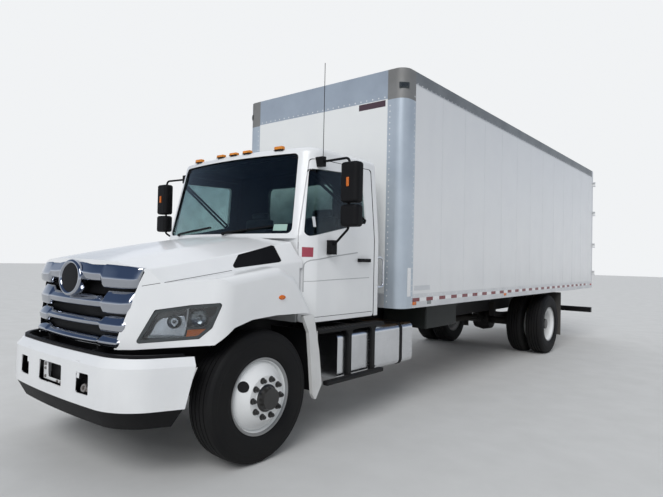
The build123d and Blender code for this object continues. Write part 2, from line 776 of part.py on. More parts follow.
with BuildPart() as hood:
    add(hood_outer)
    add(hood_inner, mode=Mode.SUBTRACT)
    # The underside rises from the grille to the wheel arch
    with BuildSketch(Plane.YZ) as underside:
        with BuildLine():
            Polyline(*aft_points([(-1200, hood_low_front - 16), (-900, hood_low_front), (-430, hood_low_rear),
                                  (-430, 500), (-1200, 500)]), close=True)
        make_face()
    extrude(underside.sketch, amount=1400, both=True, mode=Mode.SUBTRACT)
    extrude(side_outline(500, arch_outline, 30), amount=900, mode=Mode.SUBTRACT)
    extrude(side_outline(-500, arch_outline, 30), amount=-900, mode=Mode.SUBTRACT)
    # The rear edge stops short of the windshield, the doors and the cab's firewall
    with Locations((0, aft(hood_rear), 0)):
        Box(2 * (cab_half_low + door_gap), 900, 3000, align=(Align.CENTER, Align.MIN, Align.CENTER),
            mode=Mode.SUBTRACT)
    extrude(cab_plan(hood_foot, 432, (930, 530), (1086, 700), 1094, 0), amount=1200, mode=Mode.SUBTRACT)
    # Grille opening, headlight openings and side vents
    extrude(grille_outline(0), amount=600, mode=Mode.SUBTRACT)
    lamp_hole = extrude(lamp_sketch(0), amount=lamp_depth, both=True, mode=Mode.SUBTRACT)
    mirror(lamp_hole, about=Plane.YZ, mode=Mode.SUBTRACT)
    vent_hole = extrude(side_outline(700, vent_outline, 14), amount=400, mode=Mode.SUBTRACT)
    mirror(vent_hole, about=Plane.YZ, mode=Mode.SUBTRACT)
save(hood, "hood")

with BuildPart() as hood_vents:
    add(hood_form(6) - hood_form(16))
    with BuildPart(mode=Mode.PRIVATE) as vent_blocks:
        block = extrude(side_outline(700, vent_outline, 14, seat_gap), amount=400)
        mirror(block, about=Plane.YZ)
    add(vent_blocks.part, mode=Mode.INTERSECT)
save(hood_vents, "hood_vents")

with BuildPart() as headlights:
    add(nose_form(0) - nose_form(lamp_shell_depth))
    with BuildPart(mode=Mode.PRIVATE) as lamp_blocks:
        block = extrude(lamp_sketch(seat_gap), amount=lamp_depth, both=True)
        mirror(block, about=Plane.YZ)
    add(lamp_blocks.part, mode=Mode.INTERSECT)
save(headlights, "headlights")

# Grille: bowed chrome bars between side pieces, narrower towards the bottom
grille_bars = (  # at the ends: lower edge, upper edge; in the middle: lower edge, upper edge
    (917, 1060, 970, 1045), (1075, 1187, 1125, 1175), (1200, 1322, 1255, 1310), (1338, grille_peak[1], 1400, grille_peak[1]),
)
grille_flare = (430, 540)  # where the flare towards an end starts and stops
grille_side = 26
grille_arm_top = grille_bars[0][2] + 8
grille_plate = (1370, 112)  # height, radius
grille_depth = 60
grille_fit = 0.8


def grille_half(height):
    """Half width of the grille at this height."""
    share = (height - grille_low) / (grille_high - grille_low)
    return grille_half_low + share * (grille_half_top - grille_half_low)


with BuildPart() as grille:
    with BuildSketch(Plane.XZ.offset(-aft(-600))):
        start, stop = grille_flare
        for low, high, middle_low, middle_high in grille_bars:
            with BuildLine():
                Polyline((-grille_half(low), low), (-grille_half(high), high), (-stop, high),
                         (-start, middle_high), (start, middle_high), (stop, high), (grille_half(high), high),
                         (grille_half(low), low), (stop, low), (start, middle_low), (-start, middle_low),
                         (-stop, low), close=True)
            make_face()
        for side in (1, -1):
            with BuildLine():
                Polyline((side * grille_half(grille_low), grille_low), (side * grille_half(grille_high), grille_high),
                         (side * (grille_half(grille_high) - grille_side), grille_high),
                         (side * (grille_half(grille_low) - grille_side), grille_low), close=True)
            make_face()
        with Locations((0, grille_plate[0])):
            Circle(grille_plate[1])
    extrude(amount=600)
    extrude(grille_outline(grille_fit), amount=600, mode=Mode.INTERSECT)
    add(nose_form(-6) - nose_form(grille_depth), mode=Mode.INTERSECT)
    # Arms under the lowest bar turn on the frame's pivot pins
    for side in (1, -1):
        with BuildSketch(Plane.YZ.offset(side * hood_arm_x)):
            with BuildLine():
                Polyline(*aft_points([(hood_pivot - 8, hood_pivot_z + 10), (hood_pivot + 44, grille_arm_top),
                                      (hood_pivot + 84, grille_arm_top), (hood_pivot + 12, hood_pivot_z - 10)]),
                         close=True)
            make_face()
            with Locations((aft(hood_pivot), hood_pivot_z)):
                Circle(hood_pin_radius + 8)
                Circle(hood_pin_radius + running_gap, mode=Mode.SUBTRACT)
        extrude(amount=hood_plate / 2, both=True)
save(grille, "grille")

# Bumper: a steel channel wrapped round the front, with a dark skirt below
bumper_low = 530
bumper_high = 880
bumper_skin = 8
bumper_ledge = 90
skirt_low = 400
bumper_ends = (645, 560)  # how far before the front axle the ends stop: below, above
filler_back = 54
filler_depth = 30
filler_height = 20
plate_opening = (370, 156, 690)  # width, height, middle height
tow_opening = (160, 145, 682)
tow_x = 478


def bumper_plan(height, back):
    """Bumper outline seen from above, or the same moved back."""
    with BuildSketch(Plane.XY.offset(height)) as plan:
        with BuildLine():
            ThreePointArc((-640, aft(-1066 + back)), (0, aft(-bumper_overhang + back)), (640, aft(-1066 + back)))
            for side in (1, -1):
                ThreePointArc((side * 640, aft(-1066 + back)), (side * (855 - back * 0.5), aft(-985 + back)),
                              (side * (980 - back * 0.8), aft(-830 + back * 0.7)))
                Line((side * (980 - back * 0.8), aft(-830 + back * 0.7)), (side * (1122 - back), aft(-520)))
            Line((1122 - back, aft(-520)), (-1122 + back, aft(-520)))
        make_face()
    return plan.sketch


with BuildPart() as bumper:
    extrude(bumper_plan(bumper_low, 0), amount=bumper_high - 60 - bumper_low)
    loft([bumper_plan(bumper_high - 60, 0), bumper_plan(bumper_high, 45)], ruled=True)
    extrude(bumper_plan(bumper_low - 10, bumper_skin), amount=bumper_high - 60 - bumper_low,
            mode=Mode.SUBTRACT)
    extrude(bumper_plan(bumper_low - 10, bumper_ledge), amount=400, mode=Mode.SUBTRACT)
    # The ends are cut on a slant
    with BuildSketch(Plane.YZ) as ends:
        with BuildLine():
            Polyline(*aft_points([(-bumper_ends[0], bumper_low - 20), (-bumper_ends[1], bumper_high + 20),
                                  (-400, bumper_high + 20), (-400, bumper_low - 20)]), close=True)
        make_face()
    extrude(ends.sketch, amount=1400, both=True, mode=Mode.SUBTRACT)
    # Openings for the plate bracket and the tow eyes
    with BuildSketch(Plane.XZ.offset(-aft(-1000))):
        with Locations((0, plate_opening[2])):
            RectangleRounded(plate_opening[0], plate_opening[1], 12)
        with Locations((tow_x, tow_opening[2]), (-tow_x, tow_opening[2])):
            RectangleRounded(tow_opening[0], tow_opening[1], 12)
    extrude(amount=200, mode=Mode.SUBTRACT)
    # Brackets carry the bumper on the front of the rails
    for side in (1, -1):
        with Locations((side * (rail_half - 20), aft(frame_front) - seat_gap, rail_bottom + 30)):
            Box(60, 1076 + frame_front - seat_gap, 120, align=(Align.CENTER, Align.MAX, Align.CENTER))
save(bumper, "bumper")

with BuildPart() as bumper_skirt:
    loft([bumper_plan(skirt_low, 70), bumper_plan(bumper_low - seat_gap, 4)], ruled=True)
    loft([bumper_plan(skirt_low - 1, 80), bumper_plan(bumper_low + 1, 14)], ruled=True, mode=Mode.SUBTRACT)
    with BuildSketch(Plane.YZ) as ends:
        with BuildLine():
            Polyline(*aft_points([(-bumper_ends[0] - 50, skirt_low - 50), (-bumper_ends[0], bumper_low + 20),
                                  (-400, bumper_low + 20), (-400, skirt_low - 50)]), close=True)
        make_face()
    extrude(ends.sketch, amount=1400, both=True, mode=Mode.SUBTRACT)
    # A filler strip stands on the bumper's top edge, under the grille
    with BuildPart(mode=Mode.PRIVATE) as filler:
        extrude(bumper_plan(bumper_high + seat_gap, filler_back), amount=filler_height)
        extrude(bumper_plan(bumper_high + seat_gap, filler_back + filler_depth), amount=filler_height,
                mode=Mode.SUBTRACT)
        with Locations((0, aft(-620), bumper_high)):
            Box(3000, 600, 200, align=(Align.CENTER, Align.MIN, Align.CENTER), mode=Mode.SUBTRACT)
    add(filler.part)
save(bumper_skirt, "bumper_skirt")

# Splash guards: a strip behind each front wheel, with a shield across behind the tyre
guard_side = [(420, 1108), (500, 960), (528, 740), (562, 430), (600, 374), (680, 500), (640, 780), (560, 1108)]
with BuildPart() as splash_guards:
    for side in (1, -1):
        extrude(side_outline(side * 1150, guard_side, 12), amount=side * 34)
        with BuildSketch(Plane.YZ.offset(side * 600)) as shield:
            with BuildLine():
                Polyline(*aft_points([(628, 960), (650, 430), (662, 430), (640, 960)]), close=True)
            make_face()
        extrude(shield.sketch, amount=side * 560)
        with Locations((side * (rail_half + seat_gap), aft(640), 820)):
            Box(620 - rail_half, 30, 40, align=(Align.MIN if side > 0 else Align.MAX, Align.CENTER, Align.CENTER))
save(splash_guards, "splash_guards")

# Left side under the cab: fuel tank, its straps and the steps
tank_front = 962
tank_length = 1330
tank_low = 474
tank_high = 908
tank_in = rail_half + 50
tank_out = 1128
tank_round = 60
strap_places = (1108, 1492, 2055)
strap_width = 44
strap_thickness = 5
step_out = 1180

with BuildPart() as fuel_tank:
    with BuildSketch(Plane.XZ.offset(-aft(tank_front))):
        with Locations(((tank_in + tank_out) / 2, (tank_low + tank_high) / 2)):
            RectangleRounded(tank_out - tank_in, tank_high - tank_low, tank_round)
    extrude(amount=-tank_length)
    with Locations((tank_out - 130, aft(1725), tank_high)):
        Cylinder(48, 40, align=(Align.CENTER, Align.CENTER, Align.MIN))
save(fuel_tank, "fuel_tank")

with BuildPart() as tank_straps:
    for place in strap_places:
        with BuildSketch(Plane.XZ.offset(-aft(place - strap_width / 2))):
            with Locations(((tank_in + tank_out) / 2, (tank_low + tank_high) / 2)):
                RectangleRounded(tank_out - tank_in + 2 * (strap_thickness + seat_gap),
                                 tank_high - tank_low + 2 * (strap_thickness + seat_gap),
                                 tank_round + strap_thickness + seat_gap)
                RectangleRounded(tank_out - tank_in + 2 * seat_gap, tank_high - tank_low + 2 * seat_gap,
                                 tank_round + seat_gap, mode=Mode.SUBTRACT)
        extrude(amount=-strap_width)
        with Locations((rail_half + seat_gap, aft(place), (tank_high + rail_bottom) / 2)):
            Box(tank_in - rail_half - strap_thickness - 2 * seat_gap + 2, strap_width, 160,
                align=(Align.MIN, Align.CENTER, Align.CENTER))
save(tank_straps, "tank_straps")

with BuildPart() as cab_steps:
    for side in (1, -1):
        inner = tank_out + strap_thickness + 6
        # Upper step along the cab's sill, lower step below it, and the hangers that carry them
        with Locations((side * (step_out - 65), aft(1150), 948)):
            Box(130, 1010, 36)
        with Locations((side * inner, aft(1185), 490)):
            Box(step_out + 20 - inner, 880, 40, align=(Align.MIN if side > 0 else Align.MAX, Align.CENTER, Align.CENTER))
        for place in (765, 1600):
            with Locations((side * inner, aft(place), 720)):
                Box(28, 40, 480, align=(Align.MIN if side > 0 else Align.MAX, Align.CENTER, Align.CENTER))
            with Locations((side * (rail_half + seat_gap), aft(place), 948)):
                Box(step_out - 120 - rail_half + 20, 40, 36, align=(
                    Align.MIN if side > 0 else Align.MAX, Align.CENTER, Align.CENTER))
save(cab_steps, "cab_steps")

# Battery box behind the tank, with a lid that overhangs, on brackets bolted to the rail
battery_front = 2669
battery_length = 793
battery_low = 790
battery_high = 1056
battery_in = rail_half + 60
battery_out = 1098
battery_lid = 40

with BuildPart() as battery_box:
    with Locations(((battery_in + battery_out) / 2, aft(battery_front), battery_low)):
        Box(battery_out - battery_in - 16, battery_length, battery_high - battery_low,
            align=(Align.CENTER, Align.MIN, Align.MIN))
    fillet(battery_box.edges().filter_by(Axis.Z), 20)
    with Locations(((battery_in + battery_out) / 2, aft(battery_front) - 8, battery_high - battery_lid)):
        Box(battery_out - battery_in, battery_length + 16, battery_lid, align=(Align.CENTER, Align.MIN, Align.MIN))
    for place in (battery_front + 120, battery_front + battery_length - 120):
        with Locations((rail_half + seat_gap, aft(place), (battery_low + rail_top) / 2)):
            Box(battery_in - rail_half + 20, 60, 160, align=(Align.MIN, Align.CENTER, Align.CENTER))
save(battery_box, "battery_box")

# Right side under the cab: exhaust treatment box
with BuildPart() as exhaust_unit:
    with BuildSketch(Plane.XZ.offset(-aft(tank_front + 40))):
        with Locations((-(tank_in + tank_out) / 2, 700)):
            RectangleRounded(tank_out - tank_in, 400, 120)
    extrude(amount=-1100)
    for place in (1200, 1900):
        with Locations((-rail_half - seat_gap, aft(place), 860)):
            Box(60, 60, 140, align=(Align.MAX, Align.CENTER, Align.CENTER))
save(exhaust_unit, "exhaust_unit")

# Steering knuckles: a yoke over the axle's eye, a kingpin through it and a spindle for the hub
ear_height = 26
ear_radius = 52
spindle_length = 150

with BuildPart() as knuckle_left:
    with Locations((kingpin_x, aft(0), axle_height)):
        Cylinder(kingpin_radius, eye_height + 2 * ear_height)
    for end in (1, -1):
        with Locations((kingpin_x, aft(0), axle_height + end * (eye_height / 2 + ear_height / 2 + seat_gap))):
            Cylinder(ear_radius, ear_height)
        with Locations((kingpin_x, aft(0), axle_height + end * (eye_height / 2 + ear_height / 2 + seat_gap))):
            Box(ear_radius + 20, 2 * ear_radius - 20, ear_height, align=(Align.MIN, Align.CENTER, Align.CENTER))
    with Locations((kingpin_x + eye_radius + 6, aft(0), axle_height)):
        Box(24, 2 * ear_radius - 20, eye_height + 2 * ear_height, align=(Align.MIN, Align.CENTER, Align.CENTER))
    with BuildSketch(Plane.YZ.offset(kingpin_x + eye_radius + 10)):
        with Locations((aft(0), axle_height)):
            Circle(45)
    extrude(amount=spindle_length)
save(knuckle_left, "knuckle_left")

with BuildPart() as knuckle_right:
    add(mirror(knuckle_left.part, about=Plane.YZ))
save(knuckle_right, "knuckle_right")

# Wheels are turned about X. A profile gives (distance outwards from the rim's middle, radius)
rim_profile = (
    (118, 298), (108, 298), (98, 286), (62, 282), (34, 262), (-64, 262), (-98, 286), (-108, 298), (-118, 298),
    (-118, 286), (-104, 272), (-66, 250), (36, 250), (70, 262), (104, 276), (118, 286),
)
disc_profile = ((40, 256), (66, 270), (100, 250), (150, 200), (176, 170), (176, 110), (164, 110), (164, 164),
                (138, 190), (88, 240), (60, 256))
front_hub_profile = ((-40, 45 + running_gap), (-40, 205), (20, 205), (30, 120), (164, 112), (176, 112), (190, 90),
                     (232, 80), (238, 0), (182, 0), (182, 45 + running_gap))
tyre_profile = (
    (112, 299), (139, 340), (139, 420), (128, 470), (105, 506), (60, 512), (-60, 512), (-105, 506), (-128, 470),
    (-139, 420), (-139, 340), (-112, 299), (-92, 299), (-118, 345), (-118, 420), (-96, 482), (96, 482), (118, 420),
    (118, 345), (92, 299),
)


hand_hole_place = 215
hand_hole_angle = 154
hand_hole_radius = 26


def turned(profiles, middle_x, outward, place):
    """Solid turned about a wheel's axle from profiles that face outwards to this side."""
    with BuildPart() as solid:
        with BuildSketch(Plane.XY.offset(axle_height)):
            for profile in profiles:
                with BuildLine():
                    Polyline(*[(middle_x + outward * out, aft(place) - radius) for out, radius in profile], close=True)
                make_face()
        revolve(axis=Axis((0, aft(place), axle_height), (1, 0, 0)))
    return solid.part


for side, word in ((1, "left"), (-1, "right")):
    with BuildPart() as wheel_front:
        add(turned((rim_profile, disc_profile, front_hub_profile), side * front_track / 2, side, 0))
        with BuildSketch(Plane.YZ.offset(side * (front_track / 2 + 60))):
            with Locations((aft(0), axle_height)):
                with PolarLocations(hand_hole_place, 2, start_angle=hand_hole_angle):
                    Circle(hand_hole_radius)
        extrude(amount=side * 120, mode=Mode.SUBTRACT)
    save(wheel_front, f"wheel_front_{word}")

    with BuildPart() as tyre_front:
        add(turned((tyre_profile,), side * front_track / 2, side, 0))
    save(tyre_front, f"tyre_front_{word}")

    # Twin rear wheels share a hub: the outer disc is turned inwards and the inner one outwards
    outer = side * (rear_track / 2 + dual_spacing / 2)
    inner = side * (rear_track / 2 - dual_spacing / 2)
    hub_profile = (
        (-150, spindle_radius + running_gap), (-150, 205), (-20, 205), (-12, 112), (20, 112), (190, 95), (240, 85),
        (246, 0), (66, 0), (66, spindle_radius + running_gap),
    )
    with BuildPart() as wheels_rear:
        add(turned((rim_profile, disc_profile), outer, -side, rear_axle))
        add(turned((rim_profile, disc_profile), inner, side, rear_axle))
        add(turned((hub_profile,), side * rear_track / 2, side, rear_axle))
    save(wheels_rear, f"wheels_rear_{word}")

    with BuildPart() as tyres_rear:
        add(turned((tyre_profile,), outer, side, rear_axle))
        add(turned((tyre_profile,), inner, side, rear_axle))
    save(tyres_rear, f"tyres_rear_{word}")

# Van body: floor on cross members, walls, roof, posts, caps and rails
sill_height = box_bottom - rail_top
floor_cross_height = 90
floor_bay = 410
floor_end = 200
floor_plate_low = floor_top - 40
rear_frame_depth = 100
rear_post_width = 62
rear_header = 150
rear_hinge_stand = 32
rear_hinge_heights = (1400, 2000, 2700, 3350)
rear_hinge_height = 60
rear_eye_radius = door_gear_stand - rear_hinge_stand
rear_pin_radius = 8
rear_lug_thickness = 14
rear_lug_gap = 3
inner_half = box_half - wall

with BuildPart() as box_floor:
    with Locations((0, aft(box_front + wall + seat_gap), floor_plate_low)):
        Box(2 * (inner_half - seat_gap), box_length - wall - rear_frame_depth - 2 * seat_gap, 40,
            align=(Align.CENTER, Align.MIN, Align.MIN))
    fillet(box_floor.edges().filter_by(Axis.Z).group_by(Axis.Y)[0], corner_radius - wall + 1)
    for number in range(int((box_length - 2 * floor_end) / floor_bay) + 1):
        place = box_front + floor_end + number * floor_bay
        with Locations((0, aft(place), floor_plate_low)):
            Box(2 * (inner_half - seat_gap), 60, floor_cross_height,
                align=(Align.CENTER, Align.CENTER, Align.MAX))
    # Long sills lie on the frame rails
    for side in (1, -1):
        with Locations((side * (rail_half - rail_flange / 2), aft(box_front + 100), rail_top + seat_gap)):
            Box(70, box_length - 250, floor_plate_low - floor_cross_height - rail_top - seat_gap,
                align=(Align.CENTER, Align.MIN, Align.MIN))
save(box_floor, "box_floor")

with BuildPart() as box_front_wall:
    with Locations((0, aft(box_front), floor_top + seat_gap)):
        Box(2 * (box_half - corner_wrap - seat_gap), wall, front_rail_bottom - floor_top - 2 * seat_gap,
            align=(Align.CENTER, Align.MIN, Align.MIN))
save(box_front_wall, "box_front_wall")

with BuildPart() as box_side_walls:
    for side in (1, -1):
        with Locations((side * box_half, aft(box_front + corner_wrap), side_rail_top + seat_gap)):
            Box(wall, box_length - corner_wrap - rear_frame_depth - seat_gap,
                top_rail_bottom - side_rail_top - 2 * seat_gap,
                align=(Align.MAX if side > 0 else Align.MIN, Align.MIN, Align.MIN))
save(box_side_walls, "box_side_walls")

with BuildPart() as box_roof:
    with Locations((0, aft(box_front + wall), box_top - 8)):
        Box(2 * (box_half - wall), box_length - wall - rear_frame_depth - seat_gap, roof_thickness,
            align=(Align.CENTER, Align.MIN, Align.MAX))
    fillet(box_roof.edges().filter_by(Axis.Z).group_by(Axis.Y)[0], corner_radius - wall + 1)
save(box_roof, "box_roof")

cap_bottom = 3315
post_thickness = wall


def corner_band(low, high, proud):
    """Both front corners: a quarter round post with a flange along each wall."""
    with BuildPart() as band:
        for side in (1, -1):
            with BuildSketch(Plane.XY.offset(low)) as plan:
                with BuildLine():
                    FilletPolyline((side * (box_half - corner_wrap), aft(box_front - proud)),
                                   (side * (box_half + proud), aft(box_front - proud)),
                                   (side * (box_half + proud), aft(box_front + corner_wrap)), radius=corner_radius)
                    FilletPolyline((side * (box_half - corner_wrap), aft(box_front + post_thickness)),
                                   (side * inner_half, aft(box_front + post_thickness)),
                                   (side * inner_half, aft(box_front + corner_wrap)),
                                   radius=corner_radius - post_thickness)
                    Line((side * (box_half - corner_wrap), aft(box_front - proud)),
                         (side * (box_half - corner_wrap), aft(box_front + post_thickness)))
                    Line((side * (box_half + proud), aft(box_front + corner_wrap)),
                         (side * inner_half, aft(box_front + corner_wrap)))
                make_face()
            extrude(plan.sketch, amount=high - low)
    return band.part


with BuildPart() as corner_posts:
    add(corner_band(box_bottom, cap_bottom, 0))
save(corner_posts, "corner_posts")

with BuildPart() as corner_caps:
    add(corner_band(cap_bottom + seat_gap, box_top, 0))
save(corner_caps, "corner_caps")

with BuildPart() as box_rails:
    # Top rails along the sides and across the front
    for side in (1, -1):
        with Locations((side * box_half, aft(box_front + corner_wrap + seat_gap), top_rail_bottom)):
            Box(wall - seat_gap, box_length - corner_wrap - rear_frame_depth - 2 * seat_gap,
                box_top - top_rail_bottom,
                align=(Align.MAX if side > 0 else Align.MIN, Align.MIN, Align.MIN))
        # Bottom rails hang over the floor's edge
        with Locations((side * box_half, aft(box_front + corner_wrap + seat_gap), box_bottom)):
            Box(wall - seat_gap, box_length - corner_wrap - rear_frame_depth - 2 * seat_gap,
                side_rail_top - box_bottom,
                align=(Align.MAX if side > 0 else Align.MIN, Align.MIN, Align.MIN))
    with Locations((0, aft(box_front), box_top)):
        Box(2 * (box_half - corner_wrap - seat_gap), wall - seat_gap, box_top - front_rail_bottom,
            align=(Align.CENTER, Align.MIN, Align.MAX))
    with Locations((0, aft(box_front), box_bottom)):
        Box(2 * (box_half - corner_wrap - seat_gap), wall - seat_gap, floor_top - box_bottom - seat_gap,
            align=(Align.CENTER, Align.MIN, Align.MIN))
save(box_rails, "box_rails")

with BuildPart() as rear_frame:
    with BuildSketch(Plane.XZ.offset(-aft(box_rear - rear_frame_depth))):
        with Locations((0, (box_top + box_bottom) / 2)):
            Rectangle(box_width, box_top - box_bottom)
        with Locations((0, (box_top - rear_header + floor_top) / 2)):
            Rectangle(box_width - 2 * rear_post_width, box_top - rear_header - floor_top, mode=Mode.SUBTRACT)
    extrude(amount=-rear_frame_depth)
    # Hinge lugs beside the posts, above and below each door hinge
    for side in (1, -1):
        for height in rear_hinge_heights:
            for end in (1, -1):
                middle = height + end * (rear_hinge_height / 2 + rear_lug_gap + rear_lug_thickness / 2)
                with Locations((side * box_half, aft(box_rear) - 20, middle)):
                    Box(rear_hinge_stand + rear_eye_radius, 20 + door_gear_stand, rear_lug_thickness,
                        align=(Align.MIN if side > 0 else Align.MAX, Align.MIN, Align.CENTER))
            with Locations((side * (box_half + rear_hinge_stand), aft(box_rear) + rear_hinge_stand, height)):
                Cylinder(rear_pin_radius + running_gap, 2 * rear_hinge_height, mode=Mode.SUBTRACT)
save(rear_frame, "rear_frame")

# Rear doors: two leaves in the rear frame, with a lock rod on each
leaf_thickness = 40
leaf_gap = 8
leaf_middle_gap = 12
rod_radius = 14
strap_lift = 5

with BuildPart() as rear_door_left:
    leaf_outer = box_half - rear_post_width - leaf_gap
    with Locations((leaf_middle_gap / 2, aft(box_rear), floor_top + leaf_gap)):
        Box(leaf_outer - leaf_middle_gap / 2, leaf_thickness, box_top - rear_header - floor_top - 2 * leaf_gap,
            align=(Align.MIN, Align.MAX, Align.MIN))
    with Locations((160, aft(box_rear) + door_gear_stand - rod_radius, floor_top + leaf_gap)):
        Cylinder(rod_radius, box_top - rear_header - floor_top - 2 * leaf_gap,
                 align=(Align.CENTER, Align.CENTER, Align.MIN))
    for height in (1300, 1900, 2600, 3400):
        with Locations((160, aft(box_rear), height)):
            Box(60, door_gear_stand - rod_radius, 50, align=(Align.CENTER, Align.MIN, Align.CENTER))
    # Hinge straps reach out to the pins beside the rear posts
    for height in rear_hinge_heights:
        with Locations((leaf_outer - 160, aft(box_rear) + strap_lift, height)):
            Box(160 + box_half + rear_hinge_stand - leaf_outer, 10, rear_hinge_height,
                align=(Align.MIN, Align.MIN, Align.CENTER))
        with Locations((leaf_outer - 160, aft(box_rear), height)):
            Box(150, strap_lift, rear_hinge_height, align=(Align.MIN, Align.MIN, Align.CENTER))
        with Locations((box_half + rear_hinge_stand, aft(box_rear) + rear_hinge_stand, height)):
            Cylinder(rear_eye_radius, rear_hinge_height)
            Cylinder(rear_pin_radius, rear_hinge_height + 2 * (rear_lug_gap + rear_lug_thickness))
        with Locations((box_half + rear_hinge_stand, aft(box_rear) + strap_lift, height)):
            Box(10, rear_hinge_stand - strap_lift, rear_hinge_height, align=(Align.CENTER, Align.MIN, Align.CENTER))
save(rear_door_left, "rear_door_left")

with BuildPart() as rear_door_right:
    add(mirror(rear_door_left.part, about=Plane.YZ))
save(rear_door_right, "rear_door_right")

# Underride guard, mudflaps and tail lights
guard_low = 537
guard_high = 645
brace_length = 420
with BuildPart() as underride_guard:
    with Locations((0, aft(box_rear), guard_low)):
        Box(2 * box_half, 90, guard_high - guard_low, align=(Align.CENTER, Align.MAX, Align.MIN))
    for side in (1, -1):
        with Locations((side * (rail_half - 40), aft(frame_rear) + seat_gap, guard_low)):
            Box(70, box_rear - 60 - frame_rear, box_bottom - 20 - guard_low,
                align=(Align.CENTER, Align.MIN, Align.MIN))
        # Braces run forward and up to the undersides of the frame rails
        with BuildSketch(Plane.YZ.offset(side * (rail_half - 40))):
            with BuildLine():
                Polyline(*aft_points([(box_rear - 70, guard_low + 20), (box_rear - 70, guard_low + 70),
                                      (frame_rear - brace_length + 90, rail_bottom - seat_gap),
                                      (frame_rear - brace_length, rail_bottom - seat_gap)]), close=True)
            make_face()
        extrude(amount=6, both=True)
save(underride_guard, "underride_guard")

flap_place = rear_axle + 640
with BuildPart() as mudflaps:
    for side in (1, -1):
        with Locations((side * rear_track / 2, aft(flap_place), 260)):
            Box(610, 10, 790, align=(Align.CENTER, Align.CENTER, Align.MIN))
        with Locations((side * (rail_half + seat_gap), aft(flap_place + 15), 1000)):
            Box(rear_track / 2 + 250 - rail_half, 30, 50,
                align=(Align.MIN if side > 0 else Align.MAX, Align.CENTER, Align.CENTER))
save(mudflaps, "mudflaps")

with BuildPart() as tail_lights:
    for side in (1, -1):
        for x in (1010, 870):
            with Locations((side * x, aft(box_rear) + seat_gap, 1150)):
                Box(110, 24, 80, align=(Align.CENTER, Align.MIN, Align.CENTER))
    for x in (-160, 0, 160):
        with Locations((x, aft(box_rear) + seat_gap, 3565)):
            Box(90, 18, 36, align=(Align.CENTER, Align.MIN, Align.CENTER))
save(tail_lights, "tail_lights")
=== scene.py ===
# %% [markdown]
# # A white box truck
# This lesson dresses a box truck. The construction comes from a fixed frame: every panel, wheel and
# hinge is already there at its real size. Here each surface gets its finish, the curved panels get
# smooth shading, and the pieces that a maker fits last are modelled: grille bars, lamps, tyres with
# tread, rivets, tape, seats and seals.

# %% Load the frame
import json
import math

import bmesh
import bpy
from mathutils import Matrix, Vector
from mathutils.bvhtree import BVHTree

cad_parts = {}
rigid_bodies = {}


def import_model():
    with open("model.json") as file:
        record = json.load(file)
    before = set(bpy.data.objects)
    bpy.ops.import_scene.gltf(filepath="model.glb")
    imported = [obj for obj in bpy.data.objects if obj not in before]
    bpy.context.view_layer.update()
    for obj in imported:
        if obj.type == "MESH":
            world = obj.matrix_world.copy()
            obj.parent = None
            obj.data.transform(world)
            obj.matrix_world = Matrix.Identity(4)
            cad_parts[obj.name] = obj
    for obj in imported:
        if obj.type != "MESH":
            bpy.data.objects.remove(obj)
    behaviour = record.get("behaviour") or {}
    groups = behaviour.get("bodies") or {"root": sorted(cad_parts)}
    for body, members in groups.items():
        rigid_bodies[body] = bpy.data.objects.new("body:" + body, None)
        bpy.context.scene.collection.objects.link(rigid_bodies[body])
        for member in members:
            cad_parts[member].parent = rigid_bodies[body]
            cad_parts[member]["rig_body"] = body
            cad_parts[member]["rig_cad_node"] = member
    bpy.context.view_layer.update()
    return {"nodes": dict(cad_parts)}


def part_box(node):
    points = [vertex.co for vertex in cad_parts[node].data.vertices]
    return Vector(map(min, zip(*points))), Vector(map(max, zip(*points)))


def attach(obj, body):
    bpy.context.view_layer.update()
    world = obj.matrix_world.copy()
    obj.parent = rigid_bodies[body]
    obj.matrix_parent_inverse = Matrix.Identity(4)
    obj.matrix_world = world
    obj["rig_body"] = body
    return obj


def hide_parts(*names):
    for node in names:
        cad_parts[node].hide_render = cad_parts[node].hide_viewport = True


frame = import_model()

NODES = frame["nodes"]

# %% [markdown]
# ## Measures
# A truck is measured from its front axle. Every place below is given in millimetres as the distance
# left of the middle, the distance behind the front axle and the height above the ground, and one
# small function turns it into metres in the frame. The sizes that the pieces share are read from
# the frame's own nodes.

# %% Places in millimetres
MM = 0.001
SIDES = ((1, "left"), (-1, "right"))  # the sign of x, and the word in a name
axle_low, axle_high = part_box("front_axle")
AXLE_Y = (axle_low.y + axle_high.y) / 2
wheel_low, wheel_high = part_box("tyre_front_left")
AXLE_Z = (wheel_low.z + wheel_high.z) / 2 / MM
rear_low, rear_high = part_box("tyres_rear_left")
REAR_AXLE = ((rear_low.y + rear_high.y) / 2 - AXLE_Y) / MM
rail_low, rail_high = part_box("box_rails")
BOX_HALF = rail_high.x / MM
BOX_FRONT = (rail_low.y - AXLE_Y) / MM
HINGES_PROUD = 44  # the rear hinges stand this far behind the body
BOX_REAR = (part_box("rear_frame")[1].y - AXLE_Y) / MM - HINGES_PROUD


def spot(x, behind, z):
    """A place in metres: left of the middle, behind the front axle and above the ground."""
    return Vector((x * MM, AXLE_Y + behind * MM, z * MM))


print("front axle at", round(AXLE_Y, 3), "rear axle", round(REAR_AXLE), "mm behind it")

# %% [markdown]
# ## Hands
# These few helpers do what a hand does in the window: pick one piece, open it for editing, trace an
# outline by extruding a vertex, spin a profile into a round piece, sweep a tube, or run a modifier
# and apply it. An operator works on all that is selected, so each helper clears the selection first.


# %% Pick, edit and leave
def deselect():
    """Leaves nothing selected, so that what comes next is alone in the selection."""
    if bpy.context.mode != "OBJECT":
        bpy.ops.object.mode_set(mode="OBJECT")
    bpy.ops.object.select_all(action="DESELECT")


def pick(piece):
    """Selects this piece alone and makes it the active one."""
    deselect()
    piece.select_set(True)
    bpy.context.view_layer.objects.active = piece
    return piece


